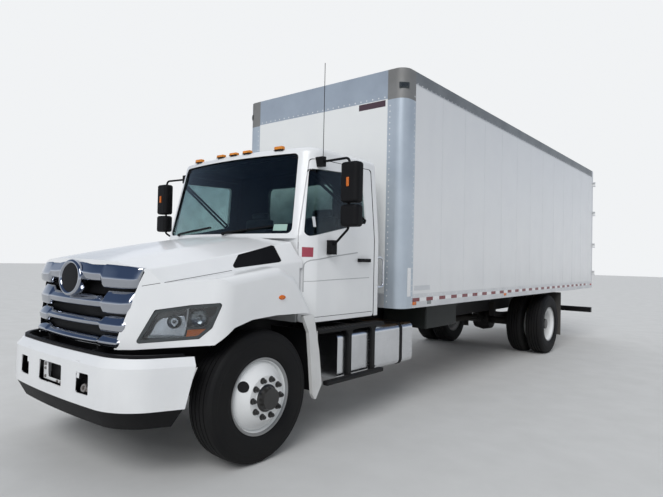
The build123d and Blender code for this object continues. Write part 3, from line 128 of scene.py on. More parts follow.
def new_piece(name):
    """The piece that an operator has just made, under this name."""
    bpy.context.object.name = name
    return bpy.context.object


def apply_place():
    """Puts the picked piece's place, turn and scale into its mesh."""
    bpy.ops.object.transform_apply(location=True, rotation=True, scale=True)


def edit(piece, kind="VERT"):
    """Opens a piece for editing with everything in it selected."""
    pick(piece)
    bpy.ops.object.mode_set(mode="EDIT")
    bpy.ops.mesh.select_mode(type=kind)
    bpy.ops.mesh.select_all(action="SELECT")


def leave():
    bpy.ops.object.mode_set(mode="OBJECT")


def select_faces(piece, test):
    """Selects the faces of the open piece for which test(centre, normal) is true."""
    mesh = bmesh.from_edit_mesh(piece.data)
    chosen = 0
    for face in mesh.faces:
        face.select = bool(test(face.calc_center_median(), face.normal))
        chosen += face.select
    mesh.select_flush_mode()
    bmesh.update_edit_mesh(piece.data)
    return chosen


def mend(piece):
    """Merges doubles and turns every face outwards."""
    edit(piece)
    bpy.ops.mesh.remove_doubles(threshold=0.00002)
    bpy.ops.mesh.normals_make_consistent(inside=False)
    leave()
    return piece


# %% Trace, slab, spin and tube
def trace(name, points):
    """A chain of edges through points, drawn by extruding one vertex."""
    deselect()
    bpy.ops.mesh.primitive_plane_add(size=0.01, location=points[0])
    piece = new_piece(name)
    edit(piece)
    bpy.ops.mesh.merge(type="CENTER")
    for here, there in zip(points, points[1:]):
        bpy.ops.mesh.extrude_region_move(TRANSFORM_OT_translate={"value": there - here})
    leave()
    return piece


def sheet_of(name, points, round_by=0.0, steps=4):
    """A flat face with this outline, its corners rounded."""
    piece = trace(name, points)
    edit(piece)
    bpy.ops.mesh.edge_face_add()
    if round_by:
        bpy.ops.mesh.select_all(action="SELECT")
        bpy.ops.mesh.bevel(offset=round_by, segments=steps, affect="VERTICES")
    leave()
    return piece


def slab(name, points, depth, round_by=0.0, edge=0.0, steps=4):
    """A plate: an outline pushed along depth. round_by rounds its corners, edge softens its edges."""
    piece = sheet_of(name, points, round_by, steps)
    edit(piece)
    bpy.ops.mesh.extrude_region_move(TRANSFORM_OT_translate={"value": depth})
    leave()
    mend(piece)
    if edge:
        soften(piece, edge)
    return piece


def spun(name, profile, centre, axis, steps=48):
    """A round piece: a profile of (distance along the axis, radius) in millimetres, spun about it."""
    axis = Vector(axis).normalized()
    arm = axis.orthogonal().normalized()
    points = [centre + axis * along * MM + arm * radius * MM for along, radius in profile]
    piece = trace(name, points)
    edit(piece)
    bpy.ops.mesh.spin(steps=steps, angle=2 * math.pi, center=centre, axis=axis)
    leave()
    return mend(piece)


def tube(name, points, radius, bend=0.0, sides=3):
    """A round bar of this radius in millimetres through points, with bends at its corners."""
    piece = trace(name, points)
    if bend:
        edit(piece)
        bpy.ops.mesh.bevel(offset=bend * MM, segments=6, affect="VERTICES")
        leave()
    pick(piece)
    bpy.ops.object.convert(target="CURVE")
    curve = bpy.context.object.data
    curve.bevel_depth = radius * MM
    curve.bevel_resolution = sides
    curve.use_fill_caps = True
    bpy.ops.object.convert(target="MESH")
    return mend(new_piece(name))


def block(name, centre, size, edge=4, steps=3):
    """A box of this size in millimetres with round edges."""
    deselect()
    bpy.ops.mesh.primitive_cube_add(size=1, location=centre)
    piece = new_piece(name)
    piece.scale = [side * MM for side in size]
    apply_place()
    return soften(piece, edge, steps)


# %% Modifiers, copies and joins
def modify(piece, kind, **settings):
    """Adds a modifier, sets it and applies it."""
    pick(piece)
    bpy.ops.object.modifier_add(type=kind)
    modifier = piece.modifiers[-1]
    for key, value in settings.items():
        setattr(modifier, key, value)
    bpy.ops.object.modifier_apply(modifier=modifier.name)
    return piece


def soften(piece, width, steps=3):
    """Rounds the edges that are sharper than 30 degrees, by a width in millimetres."""
    return modify(piece, "BEVEL", width=width * MM, segments=steps, limit_method="ANGLE",
                  angle_limit=math.radians(30))


def row(piece, count, step):
    """Repeats a piece along a constant step in millimetres."""
    return modify(piece, "ARRAY", count=count, use_relative_offset=False, use_constant_offset=True,
                  constant_offset_displace=[side * MM for side in step])


def copied(piece, name):
    """A copy with its own mesh."""
    pick(piece)
    bpy.ops.object.duplicate(linked=False)
    return new_piece(name)


def mirrored(piece, name):
    """The same piece for the truck's other side."""
    copy = copied(piece, name)
    bpy.ops.mesh.customdata_custom_splitnormals_clear()
    copy.scale = (-1, 1, 1)
    apply_place()
    edit(copy)
    bpy.ops.mesh.normals_make_consistent(inside=False)
    leave()
    return copy


def around(piece, count, centre, axis):
    """Repeats a piece evenly round an axis, in one mesh."""
    edit(piece)
    bpy.ops.mesh.spin(steps=count - 1, dupli=True, angle=2 * math.pi * (count - 1) / count, center=centre,
                      axis=axis)
    leave()
    return piece


def decal(name, skin, corners, side="x", lift=1.0, cells=8):
    """A thin sheet laid on a skin with Shrinkwrap. side x: corners are (behind, height) on the left side;
    side y: corners are (x, height) on the front."""
    on_left = side == "x"
    outline = [spot(1600, a, z) if on_left else spot(a, -1500, z) for a, z in corners]
    piece = sheet_of(name, outline)
    edit(piece)
    bpy.ops.mesh.subdivide(number_cuts=cells)
    leave()
    modify(piece, "SHRINKWRAP", target=skin, wrap_method="PROJECT", use_project_x=on_left,
           use_project_y=not on_left, use_negative_direction=on_left, use_positive_direction=not on_left,
           offset=lift * MM)
    return modify(piece, "SOLIDIFY", thickness=0.0012, offset=0.0)


def joined(name, pieces):
    """One piece made of several, under this name."""
    pick(pieces[0])
    for piece in pieces[1:]:
        piece.select_set(True)
    bpy.ops.object.join()
    return new_piece(name)


# %% Settle a finished piece


def settle(piece, material, body, smooth=35):
    """Puts a finished piece at the origin, gives it a finish and a body to ride on."""
    pick(piece)
    apply_place()
    if smooth:
        bpy.ops.object.shade_smooth_by_angle(angle=math.radians(smooth))
        modify(piece, "WEIGHTED_NORMAL", keep_sharp=True, weight=50)
    if material is not None:
        piece.data.materials.clear()
        piece.data.materials.append(material)
    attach(piece, body)
    print(f"{piece.name}: {len(piece.data.polygons)} faces, rides on {body}")
    return piece


def settle_pair(piece, material, body, smooth=35):
    """Settles a piece of the left side and its mirror image, which rides on the right side's body."""
    settle(piece, material, body, smooth)
    twin = mirrored(piece, piece.name.replace("left", "right"))
    return piece, settle(twin, None, body.replace("left", "right"), smooth)


def also(piece, material, test):
    """Gives the faces that pass the test a second finish."""
    piece.data.materials.append(material)
    edit(piece, "FACE")
    select_faces(piece, test)
    piece.active_material_index = len(piece.data.materials) - 1
    bpy.ops.object.material_slot_assign()
    leave()
    return piece


# %% Feel for a surface of the frame
trees = {}


def touch(node, start, direction):
    """The place where a ray first meets a node of the frame, and the surface's normal there."""
    if node not in trees:
        mesh = NODES[node].data
        trees[node] = BVHTree.FromPolygons([vertex.co for vertex in mesh.vertices],
                                           [face.vertices for face in mesh.polygons])
    place, normal, _, _ = trees[node].ray_cast(start, Vector(direction))
    return place, normal


def on_side(node, behind, z, proud=0.0):
    """A place on a node's left side, a few millimetres proud of it."""
    place, normal = touch(node, spot(2000, behind, z), (-1, 0, 0))
    return place + normal * proud * MM


def behind_front(node, place, depth):
    """True where a place lies more than depth metres behind the first surface met from the front."""
    front, _ = touch(node, Vector((place.x, AXLE_Y - 3.0, place.z)), (0, 1, 0))
    return front is not None and place.y > front.y + depth


# %% [markdown]
# ## Shared effects
# Four effects turn up on many surfaces, so each is built once as a node group. Road film is the grey
# haze that is thickest near the ground. Patches make a colour uneven, as every painted or rolled
# surface is. Grain is a fine unevenness for bump. Brush lines are long scratches in one direction.
# The groups put out only colours and values. The shader itself stays in each material.


# %% Small steps for building nodes
def add(tree, kind, settings=None, *places, **named):
    """Adds a shader node. places and named give its sockets a value or another node's output."""
    made = tree.nodes.new("ShaderNode" + kind)
    for key, value in (settings or {}).items():
        setattr(made, key, value)
    pairs = [(made.inputs[number], value) for number, value in enumerate(places)]
    pairs += [(made.inputs[key.replace("_", " ")], value) for key, value in named.items()]
    for socket, value in pairs:
        if isinstance(value, bpy.types.NodeSocket):
            tree.links.new(value, socket)
        elif value is not None:
            socket.default_value = value
    return made


def group(name, inputs, outputs):
    """An empty node group with these sockets."""
    tree = bpy.data.node_groups.new(name, "ShaderNodeTree")
    for label, kind, value in inputs:
        socket = tree.interface.new_socket(label, in_out="INPUT", socket_type="NodeSocket" + kind)
        socket.default_value = value
    for label, kind in outputs:
        tree.interface.new_socket(label, in_out="OUTPUT", socket_type="NodeSocket" + kind)
    return tree, tree.nodes.new("NodeGroupInput").outputs, tree.nodes.new("NodeGroupOutput").inputs


def object_place(tree):
    """Object coordinates: the place on the piece itself, in metres."""
    return add(tree, "TexCoord").outputs["Object"]


def scale_noise(tree, vector, scale, detail=4.0, rough=0.55):
    noise = add(tree, "TexNoise", None, Vector=vector, Scale=scale, Detail=detail, Roughness=rough)
    return noise.outputs["Fac"]


def remap(tree, value, low, high, to_low, to_high):
    return add(tree, "MapRange", {"clamp": True}, value, low, high, to_low, to_high).outputs["Result"]


def multiplied(tree, first, second, clamp=False):
    settings = {"operation": "MULTIPLY", "use_clamp": clamp}
    return add(tree, "Math", settings, first, second).outputs[0]


def blend_colours(tree, share, first, second, how="MIX"):
    return add(tree, "MixRGB", {"blend_type": how}, share, first, second).outputs["Color"]


# %% Road film
film_tree, given, result = group("road film", [
    ("Clean", "Color", (1, 1, 1, 1)), ("Film", "Color", (0.3, 0.28, 0.25, 1)), ("Low", "Float", 0.3),
    ("High", "Float", 1.2), ("Amount", "Float", 0.4), ("Scale", "Float", 3.0)],
    [("Colour", "Color"), ("Mask", "Float")])
where = object_place(film_tree)
height = add(film_tree, "SeparateXYZ", None, where).outputs["Z"]
streaky = add(film_tree, "Mapping", None, Vector=where, Scale=(1.0, 1.0, 0.35)).outputs["Vector"]
fall = remap(film_tree, height, given["Low"], given["High"], 1.0, 0.08)
cloud = remap(film_tree, scale_noise(film_tree, streaky, given["Scale"], 8.0, 0.62), 0.36, 0.72, 0.25, 1.0)
mask = multiplied(film_tree, multiplied(film_tree, fall, cloud), given["Amount"], clamp=True)
film_tree.links.new(mask, result["Mask"])
film_tree.links.new(blend_colours(film_tree, mask, given["Clean"], given["Film"]), result["Colour"])
print("road film:", len(film_tree.nodes), "nodes")

# %% Patches, grain and brush lines
patch_tree, given, result = group("patches", [
    ("Colour", "Color", (1, 1, 1, 1)), ("Shade", "Color", (0.9, 0.9, 0.9, 1)), ("Scale", "Float", 2.0)],
    [("Colour", "Color"), ("Value", "Float")])
where = object_place(patch_tree)
value = remap(patch_tree, scale_noise(patch_tree, where, given["Scale"], 6.0), 0.35, 0.65, 0.0, 1.0)
patch_tree.links.new(value, result["Value"])
patch_tree.links.new(blend_colours(patch_tree, value, given["Colour"], given["Shade"]), result["Colour"])

grain_tree, given, result = group("grain", [("Scale", "Float", 400.0)], [("Height", "Float")])
where = object_place(grain_tree)
grain_tree.links.new(scale_noise(grain_tree, where, given["Scale"], 3.0), result["Height"])

brush_tree, given, result = group("brush lines", [
    ("Stretch", "Vector", (1.0, 0.02, 1.0)), ("Scale", "Float", 300.0)], [("Value", "Float")])
where = object_place(brush_tree)
lines = add(brush_tree, "Mapping", None, Vector=where, Scale=given["Stretch"]).outputs["Vector"]
brush_tree.links.new(scale_noise(brush_tree, lines, given["Scale"], 4.0), result["Value"])
print("node groups:", [tree.name for tree in bpy.data.node_groups])

# %% [markdown]
# ## Finishes
# Most of the truck is paint, bare metal, plastic or rubber, and these differ only in a few numbers:
# colour, gloss, metal, lacquer, how much road film they carry and how fine their grain is. So one
# function builds them from a table. Fresh white paint keeps a clear coat and a soft orange peel.
# Chassis paint is duller and dirtier, and rolled aluminium gets brush lines.


# %% One function for the plain finishes
PATCH_SCALE, FILM_SCALE, BRUSH_SCALE = 2.5, 3.0, 260.0
FILM_DULLS = 0.45  # a full road film adds this much roughness
COAT_ROUGHNESS = 0.1


def new_material(name):
    """An empty material, its node tree and the Principled BSDF in it."""
    material = bpy.data.materials.new(name)
    material.use_nodes = True
    return material, material.node_tree, material.node_tree.nodes["Principled BSDF"]


def bumpy(tree, shader, height, strength, distance=0.001):
    """Lets a height stand out on the surface."""
    bumped = add(tree, "Bump", None, Strength=strength, Distance=distance, Height=height)
    tree.links.new(bumped.outputs["Normal"], shader.inputs["Normal"])


def finish(name, colour, shade, rough, metal=0.0, coat=0.0, low=0.2, high=1.3, film=0.35, grain=420.0,
           bump=0.1, brush=None, film_colour=(0.26, 0.24, 0.21), specular=0.5):
    """Paint, bare metal, plastic or rubber: patches under road film, with grain or brush lines as bump."""
    material, tree, shader = new_material(name)
    patches = add(tree, "Group", {"node_tree": patch_tree}, (*colour, 1), (*shade, 1), PATCH_SCALE)
    filmed = add(tree, "Group", {"node_tree": film_tree}, patches.outputs["Colour"], (*film_colour, 1), low,
                 high, film, FILM_SCALE)
    tree.links.new(filmed.outputs["Colour"], shader.inputs["Base Color"])
    if brush:
        lines = add(tree, "Group", {"node_tree": brush_tree}, brush, BRUSH_SCALE).outputs["Value"]
        base = remap(tree, lines, 0.3, 0.7, rough * 0.75, rough * 1.3)
    else:
        lines = add(tree, "Group", {"node_tree": grain_tree}, grain).outputs["Height"]
        base = remap(tree, patches.outputs["Value"], 0.0, 1.0, rough, rough * 1.18)
    gloss = add(tree, "Math", {"operation": "MULTIPLY_ADD", "use_clamp": True}, filmed.outputs["Mask"],
                FILM_DULLS, base)
    tree.links.new(gloss.outputs[0], shader.inputs["Roughness"])
    shader.inputs["Metallic"].default_value = metal
    shader.inputs["Specular IOR Level"].default_value = specular
    shader.inputs["Coat Weight"].default_value = coat
    shader.inputs["Coat Roughness"].default_value = COAT_ROUGHNESS
    bumpy(tree, shader, lines, bump)
    return material


# %% The finishes that this truck needs
WHITE, WHITE_SHADE = (0.80, 0.81, 0.815), (0.77, 0.78, 0.79)
UPRIGHT, ALONG_TRUCK, ACROSS = (1.0, 1.0, 0.03), (1.0, 0.02, 1.0), (0.02, 1.0, 1.0)  # how brush lines run
FINISHES = {
    # name: colour, its darker patches, roughness, then what differs from plain painted sheet
    "cab paint": (WHITE, WHITE_SHADE, 0.30, dict(coat=0.4, film=0.16, low=0.3, high=1.5, bump=0.02)),
    "bumper paint": (WHITE, WHITE_SHADE, 0.32, dict(coat=0.5, film=0.22, low=0.3, high=0.9, bump=0.02)),
    # the splash guards are white; this greyer white is painted shade on them
    "shaded guard paint": ((0.70, 0.71, 0.71), (0.62, 0.62, 0.61), 0.4, dict(coat=0.2, film=0.5, high=1.2)),
    "box panel": ((0.80, 0.81, 0.80), (0.785, 0.795, 0.79), 0.34,
                  dict(coat=0.3, film=0.1, low=1.0, high=2.2, bump=0.03)),
    "wheel paint": ((0.82, 0.83, 0.83), (0.76, 0.77, 0.77), 0.32,
                    dict(coat=0.4, film=0.12, low=0.1, high=1.1)),
    # dark grey on the white wheels' outer flange ring: painted shade
    "shaded rim flange": ((0.36, 0.37, 0.38), (0.28, 0.28, 0.28), 0.42,
                   dict(metal=0.5, film=0.4, low=0.1, high=1.1)),
    "chassis paint": ((0.006, 0.006, 0.007), (0.012, 0.012, 0.013), 0.45,
                      dict(specular=0.18, film=0.06, high=1.2)),
    "axle paint": ((0.010, 0.010, 0.011), (0.022, 0.020, 0.018), 0.55,
                   dict(specular=0.2, film=0.12, high=1.2, bump=0.4, grain=160.0)),
    "hub black": ((0.007, 0.007, 0.008), (0.014, 0.014, 0.014), 0.28, dict(coat=0.2, film=0.08, high=1.2)),
    "black plastic": ((0.006, 0.006, 0.007), (0.010, 0.010, 0.011), 0.5,
                      dict(specular=0.14, film=0.03, high=1.0, bump=0.35, grain=900.0)),
    "step plastic": ((0.007, 0.007, 0.008), (0.012, 0.012, 0.012), 0.5,
                     dict(specular=0.18, film=0.05, high=1.2, bump=0.5, grain=500.0)),
    "seal rubber": ((0.005, 0.005, 0.006), (0.009, 0.009, 0.010), 0.5,
                    dict(specular=0.15, film=0.02, bump=0.3, grain=700.0)),
    "flap rubber": ((0.02, 0.02, 0.021), (0.035, 0.034, 0.033), 0.6,
                    dict(film=0.5, high=1.1, bump=0.4, grain=200.0)),
    "cabin plastic": ((0.012, 0.014, 0.018), (0.018, 0.020, 0.024), 0.65,
                      dict(specular=0.2, film=0.0, bump=0.5, grain=700.0)),
    "battery box": ((0.014, 0.017, 0.016), (0.022, 0.025, 0.024), 0.45, dict(specular=0.2, film=0.06)),
    "corner post": ((0.53, 0.59, 0.65), (0.47, 0.53, 0.59), 0.4,
                    dict(metal=0.45, film=0.05, low=0.9, high=2.0, bump=0.012, brush=UPRIGHT)),
    "chrome": ((0.46, 0.48, 0.525), (0.41, 0.43, 0.475), 0.06,
               dict(metal=1.0, film=0.08, low=0.6, high=1.5, bump=0.01)),
    "polished aluminium": ((0.82, 0.83, 0.85), (0.74, 0.75, 0.78), 0.16,
                           dict(metal=1.0, film=0.12, high=1.4, bump=0.03, brush=UPRIGHT)),
    "tank aluminium": ((0.74, 0.75, 0.77), (0.62, 0.63, 0.65), 0.2,
                       dict(metal=1.0, film=0.16, low=0.3, high=1.2, bump=0.04, brush=(1.0, 0.03, 1.0))),
    "rail aluminium": ((0.28, 0.29, 0.292), (0.22, 0.23, 0.233), 0.42,
                       dict(metal=0.5, film=0.16, low=0.9, high=2.2, bump=0.05, brush=ALONG_TRUCK)),
    "side rail": ((0.72, 0.73, 0.74), (0.64, 0.65, 0.67), 0.36,
                  dict(metal=0.55, film=0.2, low=0.9, high=1.6, bump=0.05, brush=ALONG_TRUCK)),
    "front rail": ((0.42, 0.48, 0.55), (0.36, 0.41, 0.48), 0.42,
                   dict(metal=0.35, film=0.12, low=1.0, high=3.0, bump=0.05, brush=ACROSS)),
    "cast aluminium": ((0.28, 0.277, 0.268), (0.22, 0.218, 0.21), 0.5,
                       dict(metal=0.4, film=0.1, bump=0.6, grain=220.0)),
    "roof sheet": ((0.62, 0.63, 0.65), (0.55, 0.56, 0.58), 0.4,
                   dict(metal=0.4, film=0.3, low=3.4, high=3.7)),
    "exhaust steel": ((0.42, 0.40, 0.38), (0.30, 0.27, 0.25), 0.42,
                      dict(metal=0.8, film=0.4, low=0.3, high=1.2, bump=0.2)),
    "rivet": ((0.80, 0.81, 0.82), (0.7, 0.71, 0.72), 0.4, dict(metal=0.2, film=0.1)),
    "lamp bezel": ((0.040, 0.048, 0.050), (0.027, 0.033, 0.035), 0.28, dict(coat=0.3, film=0.05)),
    "dark reflector": ((0.20, 0.22, 0.235), (0.14, 0.16, 0.17), 0.14, dict(metal=1.0, film=0.0, bump=0.02)),
    "reflector": ((0.58, 0.61, 0.64), (0.42, 0.45, 0.48), 0.22, dict(metal=1.0, film=0.0, bump=0.02)),
    "blank red label": ((0.42, 0.05, 0.09), (0.34, 0.04, 0.07), 0.4, dict(film=0.12, low=1.2, high=2.0)),
    "blank pale label": ((0.62, 0.64, 0.66), (0.55, 0.57, 0.59), 0.5, dict(film=0.1)),
    "blank dark label": ((0.075, 0.04, 0.055), (0.06, 0.034, 0.046), 0.45, dict(film=0.05)),
    # a grey for the door's press lines: painted shade along the pressed creases
    "painted crease shade": ((0.44, 0.45, 0.455), (0.40, 0.41, 0.415), 0.4, dict(coat=0.3, film=0.05)),
    "blank green label": ((0.36, 0.52, 0.46), (0.30, 0.45, 0.40), 0.5, dict(film=0.0)),
}
finishes = {name: finish(name, colour, shade, rough, **rest)
            for name, (colour, shade, rough, rest) in FINISHES.items()}
print(len(finishes), "finishes from the table")

# %% [markdown]
# ## Glass, lenses, tape, cloth, tyres and floorboards
# These need their own recipes. Tinted glass lets light through and takes a trace of dust on its
# gloss. Lenses carry fine ribs. Reflective tape is a honeycomb of tiny cells. Seat cloth is a weave
# with a soft sheen, and a hardwood floor is rows of narrow boards.


# %% Glass and lenses
def glassy(name, colour, rough, through, ribs=None):
    """Glass or a clear moulded lens. ribs gives how close its flutes lie along each axis."""
    material, tree, shader = new_material(name)
    shade = [part * 0.85 for part in colour]
    patches = add(tree, "Group", {"node_tree": patch_tree}, (*colour, 1), (*shade, 1), 6.0)
    tree.links.new(patches.outputs["Colour"], shader.inputs["Base Color"])
    haze = remap(tree, patches.outputs["Value"], 0.0, 1.0, rough, rough + 0.04)
    tree.links.new(haze, shader.inputs["Roughness"])
    shader.inputs["Transmission Weight"].default_value = through
    shader.inputs["IOR"].default_value = 1.45
    if ribs:
        turned = add(tree, "Mapping", None, Vector=object_place(tree), Scale=(ribs, ribs, ribs))
        wave = add(tree, "TexWave", {"bands_direction": "DIAGONAL"}, Vector=turned.outputs["Vector"],
                   Scale=1.0)
        bumpy(tree, shader, wave.outputs["Fac"], 0.5, 0.002)
    return material


LENSES = (  # name, colour, roughness, how much light goes through, ribs
    ("tinted glass", (0.50, 0.63, 0.62), 0.01, 1.0, None),
    ("clear lens", (0.93, 0.95, 0.96), 0.015, 1.0, None),
    ("amber lens", (0.95, 0.33, 0.03), 0.12, 0.25, 60.0),
    ("orange lens", (0.85, 0.20, 0.02), 0.15, 0.2, 80.0),
    ("red lens", (0.50, 0.015, 0.02), 0.15, 0.2, 60.0),
)
finishes.update({name: glassy(name, *values) for name, *values in LENSES})


# %% Tape, cloth, tyre rubber and boards
def tape(name, colour):
    """Reflective tape: a honeycomb of tiny cells under a gloss film."""
    material, tree, shader = new_material(name)
    cells = add(tree, "TexVoronoi", {"feature": "DISTANCE_TO_EDGE"}, Vector=object_place(tree), Scale=240.0)
    seam = remap(tree, cells.outputs["Distance"], 0.0, 0.12, 0.0, 1.0)
    pale = [min(1.0, part * 1.25 + 0.03) for part in colour]
    clean = blend_colours(tree, seam, (*pale, 1), (*colour, 1))
    filmed = add(tree, "Group", {"node_tree": film_tree}, clean, (0.3, 0.28, 0.26, 1), 0.9, 1.6, 0.2, 4.0)
    tree.links.new(filmed.outputs["Colour"], shader.inputs["Base Color"])
    tree.links.new(remap(tree, filmed.outputs["Mask"], 0.0, 1.0, 0.25, 0.6), shader.inputs["Roughness"])
    bumpy(tree, shader, seam, 0.2, 0.0005)
    return material


def woven(name, colour, shade):
    """Seat cloth: two crossing sets of threads with a soft sheen."""
    material, tree, shader = new_material(name)
    where = object_place(tree)
    sets = [add(tree, "TexWave", {"bands_direction": way}, Vector=where, Scale=260.0, Distortion=1.5)
            for way in ("X", "DIAGONAL")]
    threads = multiplied(tree, *(wave.outputs["Fac"] for wave in sets))
    tree.links.new(blend_colours(tree, threads, (*shade, 1), (*colour, 1)), shader.inputs["Base Color"])
    tree.links.new(remap(tree, threads, 0.0, 1.0, 0.95, 0.75), shader.inputs["Roughness"])
    shader.inputs["Sheen Weight"].default_value = 0.3
    bumpy(tree, shader, threads, 0.6)
    return material


def boards(name):
    """Floorboards that run along the truck, each in its own tone."""
    material, tree, shader = new_material(name)
    turned = add(tree, "Mapping", None, Vector=object_place(tree), Rotation=(0, 0, math.pi / 2))
    brick = add(tree, "TexBrick", None, Vector=turned.outputs["Vector"], Color1=(0.34, 0.21, 0.11, 1),
                Color2=(0.24, 0.14, 0.07, 1), Mortar=(0.03, 0.02, 0.015, 1), Scale=1.0, Mortar_Size=0.0015,
                Brick_Width=2.4, Row_Height=0.035)
    lines = add(tree, "Group", {"node_tree": brush_tree}, (1.0, 0.03, 1.0), 120.0).outputs["Value"]
    streaks = blend_colours(tree, lines, (0.4, 0.35, 0.3, 1), (1, 1, 1, 1))
    grainy = blend_colours(tree, 0.35, brick.outputs["Color"], streaks, "MULTIPLY")
    tree.links.new(grainy, shader.inputs["Base Color"])
    tree.links.new(remap(tree, lines, 0.3, 0.7, 0.45, 0.65), shader.inputs["Roughness"])
    bumpy(tree, shader, brick.outputs["Fac"], 0.3)
    return material


finishes["red tape"] = tape("red tape", (0.16, 0.007, 0.016))
finishes["white tape"] = tape("white tape", (0.72, 0.73, 0.74))
finishes["seat cloth"] = woven("seat cloth", (0.07, 0.075, 0.085), (0.025, 0.027, 0.032))
finishes["floor boards"] = boards("floor boards")
finishes["tyre rubber"] = finish("tyre rubber", (0.006, 0.006, 0.007), (0.010, 0.010, 0.010), 0.6, film=0.08,
                                 low=0.0, specular=0.16, bump=0.5, grain=260.0,
                                 film_colour=(0.10, 0.095, 0.085))
print(len(finishes), "finishes in all")

# %% [markdown]
# ## The box panels
# The side walls are thin prepainted sheets riveted to posts behind them, so they are never quite
# flat. Faint upright waves, one to each post, show it. They go into the bump, because they are far
# shallower than a millimetre.

# %% Box side finish
POST_SPACING = 0.305
# the side walls' white is darker than the front wall's box panel: painted shade on the box's sides
shaded_side_sheet = finish("shaded side sheet", (0.745, 0.755, 0.765), (0.73, 0.74, 0.755), 0.30, coat=0.35, film=0.12,
                    low=1.0, high=2.6, bump=0.03)
tree = shaded_side_sheet.node_tree
bands = add(tree, "TexWave", {"bands_direction": "Y"}, Vector=object_place(tree),
            Scale=math.pi / 10 / POST_SPACING, Distortion=0.6, Detail=1.0)
fine_bump = next(node for node in tree.nodes if node.type == "BUMP")
ripple = add(tree, "Bump", None, Strength=0.35, Distance=0.004, Height=bands.outputs["Fac"],
             Normal=fine_bump.outputs["Normal"])
tree.links.new(ripple.outputs["Normal"], tree.nodes["Principled BSDF"].inputs["Normal"])
finishes["shaded side sheet"] = shaded_side_sheet
print("shaded side sheet is ready")

# %% [markdown]
# ## Finishes for the pieces of the frame
# Flat pieces of the frame stay as they are and only get a finish. Curved ones are loose flat
# triangles, so each is copied, its doubles are merged and it is shaded smooth below a set angle. The
# copy then stands for the original. That keeps the exact shape and loses the facets.

# %% Which finish goes on which piece
FLAT = {
    "frame_rails": "chassis paint", "engine": "axle paint", "radiator": "chassis paint",
    "box_floor": "floor boards", "box_front_wall": "box panel", "box_side_walls": "shaded side sheet",
    "box_roof": "roof sheet", "rear_frame": "side rail", "rear_door_left": "box panel",
    "rear_door_right": "box panel", "underride_guard": "chassis paint", "mudflaps": "flap rubber",
    "seat_bases": "cabin plastic", "dashboard": "cabin plastic", "tail_lights": "red lens",
}
CURVED = {  # node: finish, and the angle in degrees below which it is shaded smooth
    "hood": ("cab paint", 32), "cab_shell": ("cab paint", 32), "door_left": ("cab paint", 32),
    "door_right": ("cab paint", 32), "bumper": ("bumper paint", 34), "bumper_skirt": ("black plastic", 34),
    "splash_guards": ("shaded guard paint", 30), "hood_vents": ("black plastic", 30),
    "corner_posts": ("corner post", 30), "corner_caps": ("cast aluminium", 30),
    "fuel_tank": ("tank aluminium", 34), "tank_straps": ("black plastic", 30),
    "battery_box": ("battery box", 30), "exhaust_unit": ("exhaust steel", 30),
    "front_axle": ("axle paint", 30), "rear_axle": ("axle paint", 30), "leaf_springs": ("axle paint", 30),
    "driveline": ("axle paint", 30), "knuckle_left": ("axle paint", 30), "knuckle_right": ("axle paint", 30),
    "wheel_front_left": ("wheel paint", 28), "wheel_front_right": ("wheel paint", 28),
    "wheels_rear_left": ("wheel paint", 28), "wheels_rear_right": ("wheel paint", 28),
    "cab_glass": ("tinted glass", 30), "door_glass_left": ("tinted glass", 30),
    "door_glass_right": ("tinted glass", 30), "mirror_left": ("black plastic", 40),
    "mirror_right": ("black plastic", 40), "steering_wheel": ("cabin plastic", 40),
    "wipers": ("black plastic", 30), "box_rails": ("side rail", 30),
}


def dress(node, finish_name):
    """Puts a finish on a piece of the frame, which stays as it is."""
    NODES[node].data.materials.clear()
    NODES[node].data.materials.append(finishes[finish_name])


def smooth_copy(node, finish_name, angle):
    """A merged, smooth copy that stands for a curved piece of the frame."""
    body = NODES[node]["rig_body"]
    copy = copied(NODES[node], node + "_skin")
    del copy["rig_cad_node"]
    copy.parent = None
    bpy.ops.mesh.customdata_custom_splitnormals_clear()
    edit(copy)
    bpy.ops.mesh.remove_doubles(threshold=0.00002)
    leave()
    settle(copy, finishes[finish_name], body, angle)
    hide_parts(node)
    return copy


for node, finish_name in FLAT.items():
    dress(node, finish_name)
skins = {node: smooth_copy(node, *values) for node, values in CURVED.items()}
print(len(FLAT), "flat pieces and", len(skins), "smooth copies")

# %% Dark linings inside the cab and the doors
CAB_MIDDLE = spot(0, 1080, 1880)

also(skins["cab_shell"], finishes["cabin plastic"],
     lambda place, normal: normal.dot(CAB_MIDDLE - place) > 0.12)
for side, word in SIDES:
    also(skins[f"door_{word}"], finishes["cabin plastic"], lambda place, normal: normal.x * side < -0.35)
print("cab shell:", len(skins["cab_shell"].data.materials), "finishes")

# %% Dark linings of the hood, the splash guards and the bumper, and painted shade on the bumper
GUARD_LINING_X = 1.13
BUMPER_SKIN = 0.0028  # what lies deeper than this behind the bumper's face is lining
BUMPER_SHADE_FROM_Y = AXLE_Y - 0.93  # behind this line the bumper's top is dark

also(skins["hood"], finishes["black plastic"],
     lambda place, normal: normal.z < -0.3 or (normal.y > 0.5 and place.y < AXLE_Y)
     or (normal.x * place.x < 0 and abs(place.x) > 0.5 and abs(normal.x) > 0.4))
also(skins["splash_guards"], finishes["black plastic"], lambda place, normal: abs(place.x) < GUARD_LINING_X)
# the bumper's inner faces are its black inside; its underside and the top behind BUMPER_SHADE_FROM_Y are
# black as painted shade
also(skins["bumper"], finishes["black plastic"],
     lambda place, normal: behind_front("bumper", place, BUMPER_SKIN) and abs(normal.z) < 0.9
     or normal.z < -0.9 or (normal.z > 0.9 and place.y > BUMPER_SHADE_FROM_Y))
print("bumper:", len(skins["bumper"].data.materials), "finishes")

# %% A second finish on the door handles, the rails and the wheels
HANDLE, HANDLE_HALF, HANDLE_HALF_HEIGHT = spot(0, 1395, 1577), 0.098, 0.0185
DOOR_SKIN_X = 1.0  # what lies further out than this is the outer skin or the handle
FLANGE_RADIUS, HUB_RADIUS = 0.279, 0.106
TOP_RAIL_Z = 3.3  # only the top rails lie above this

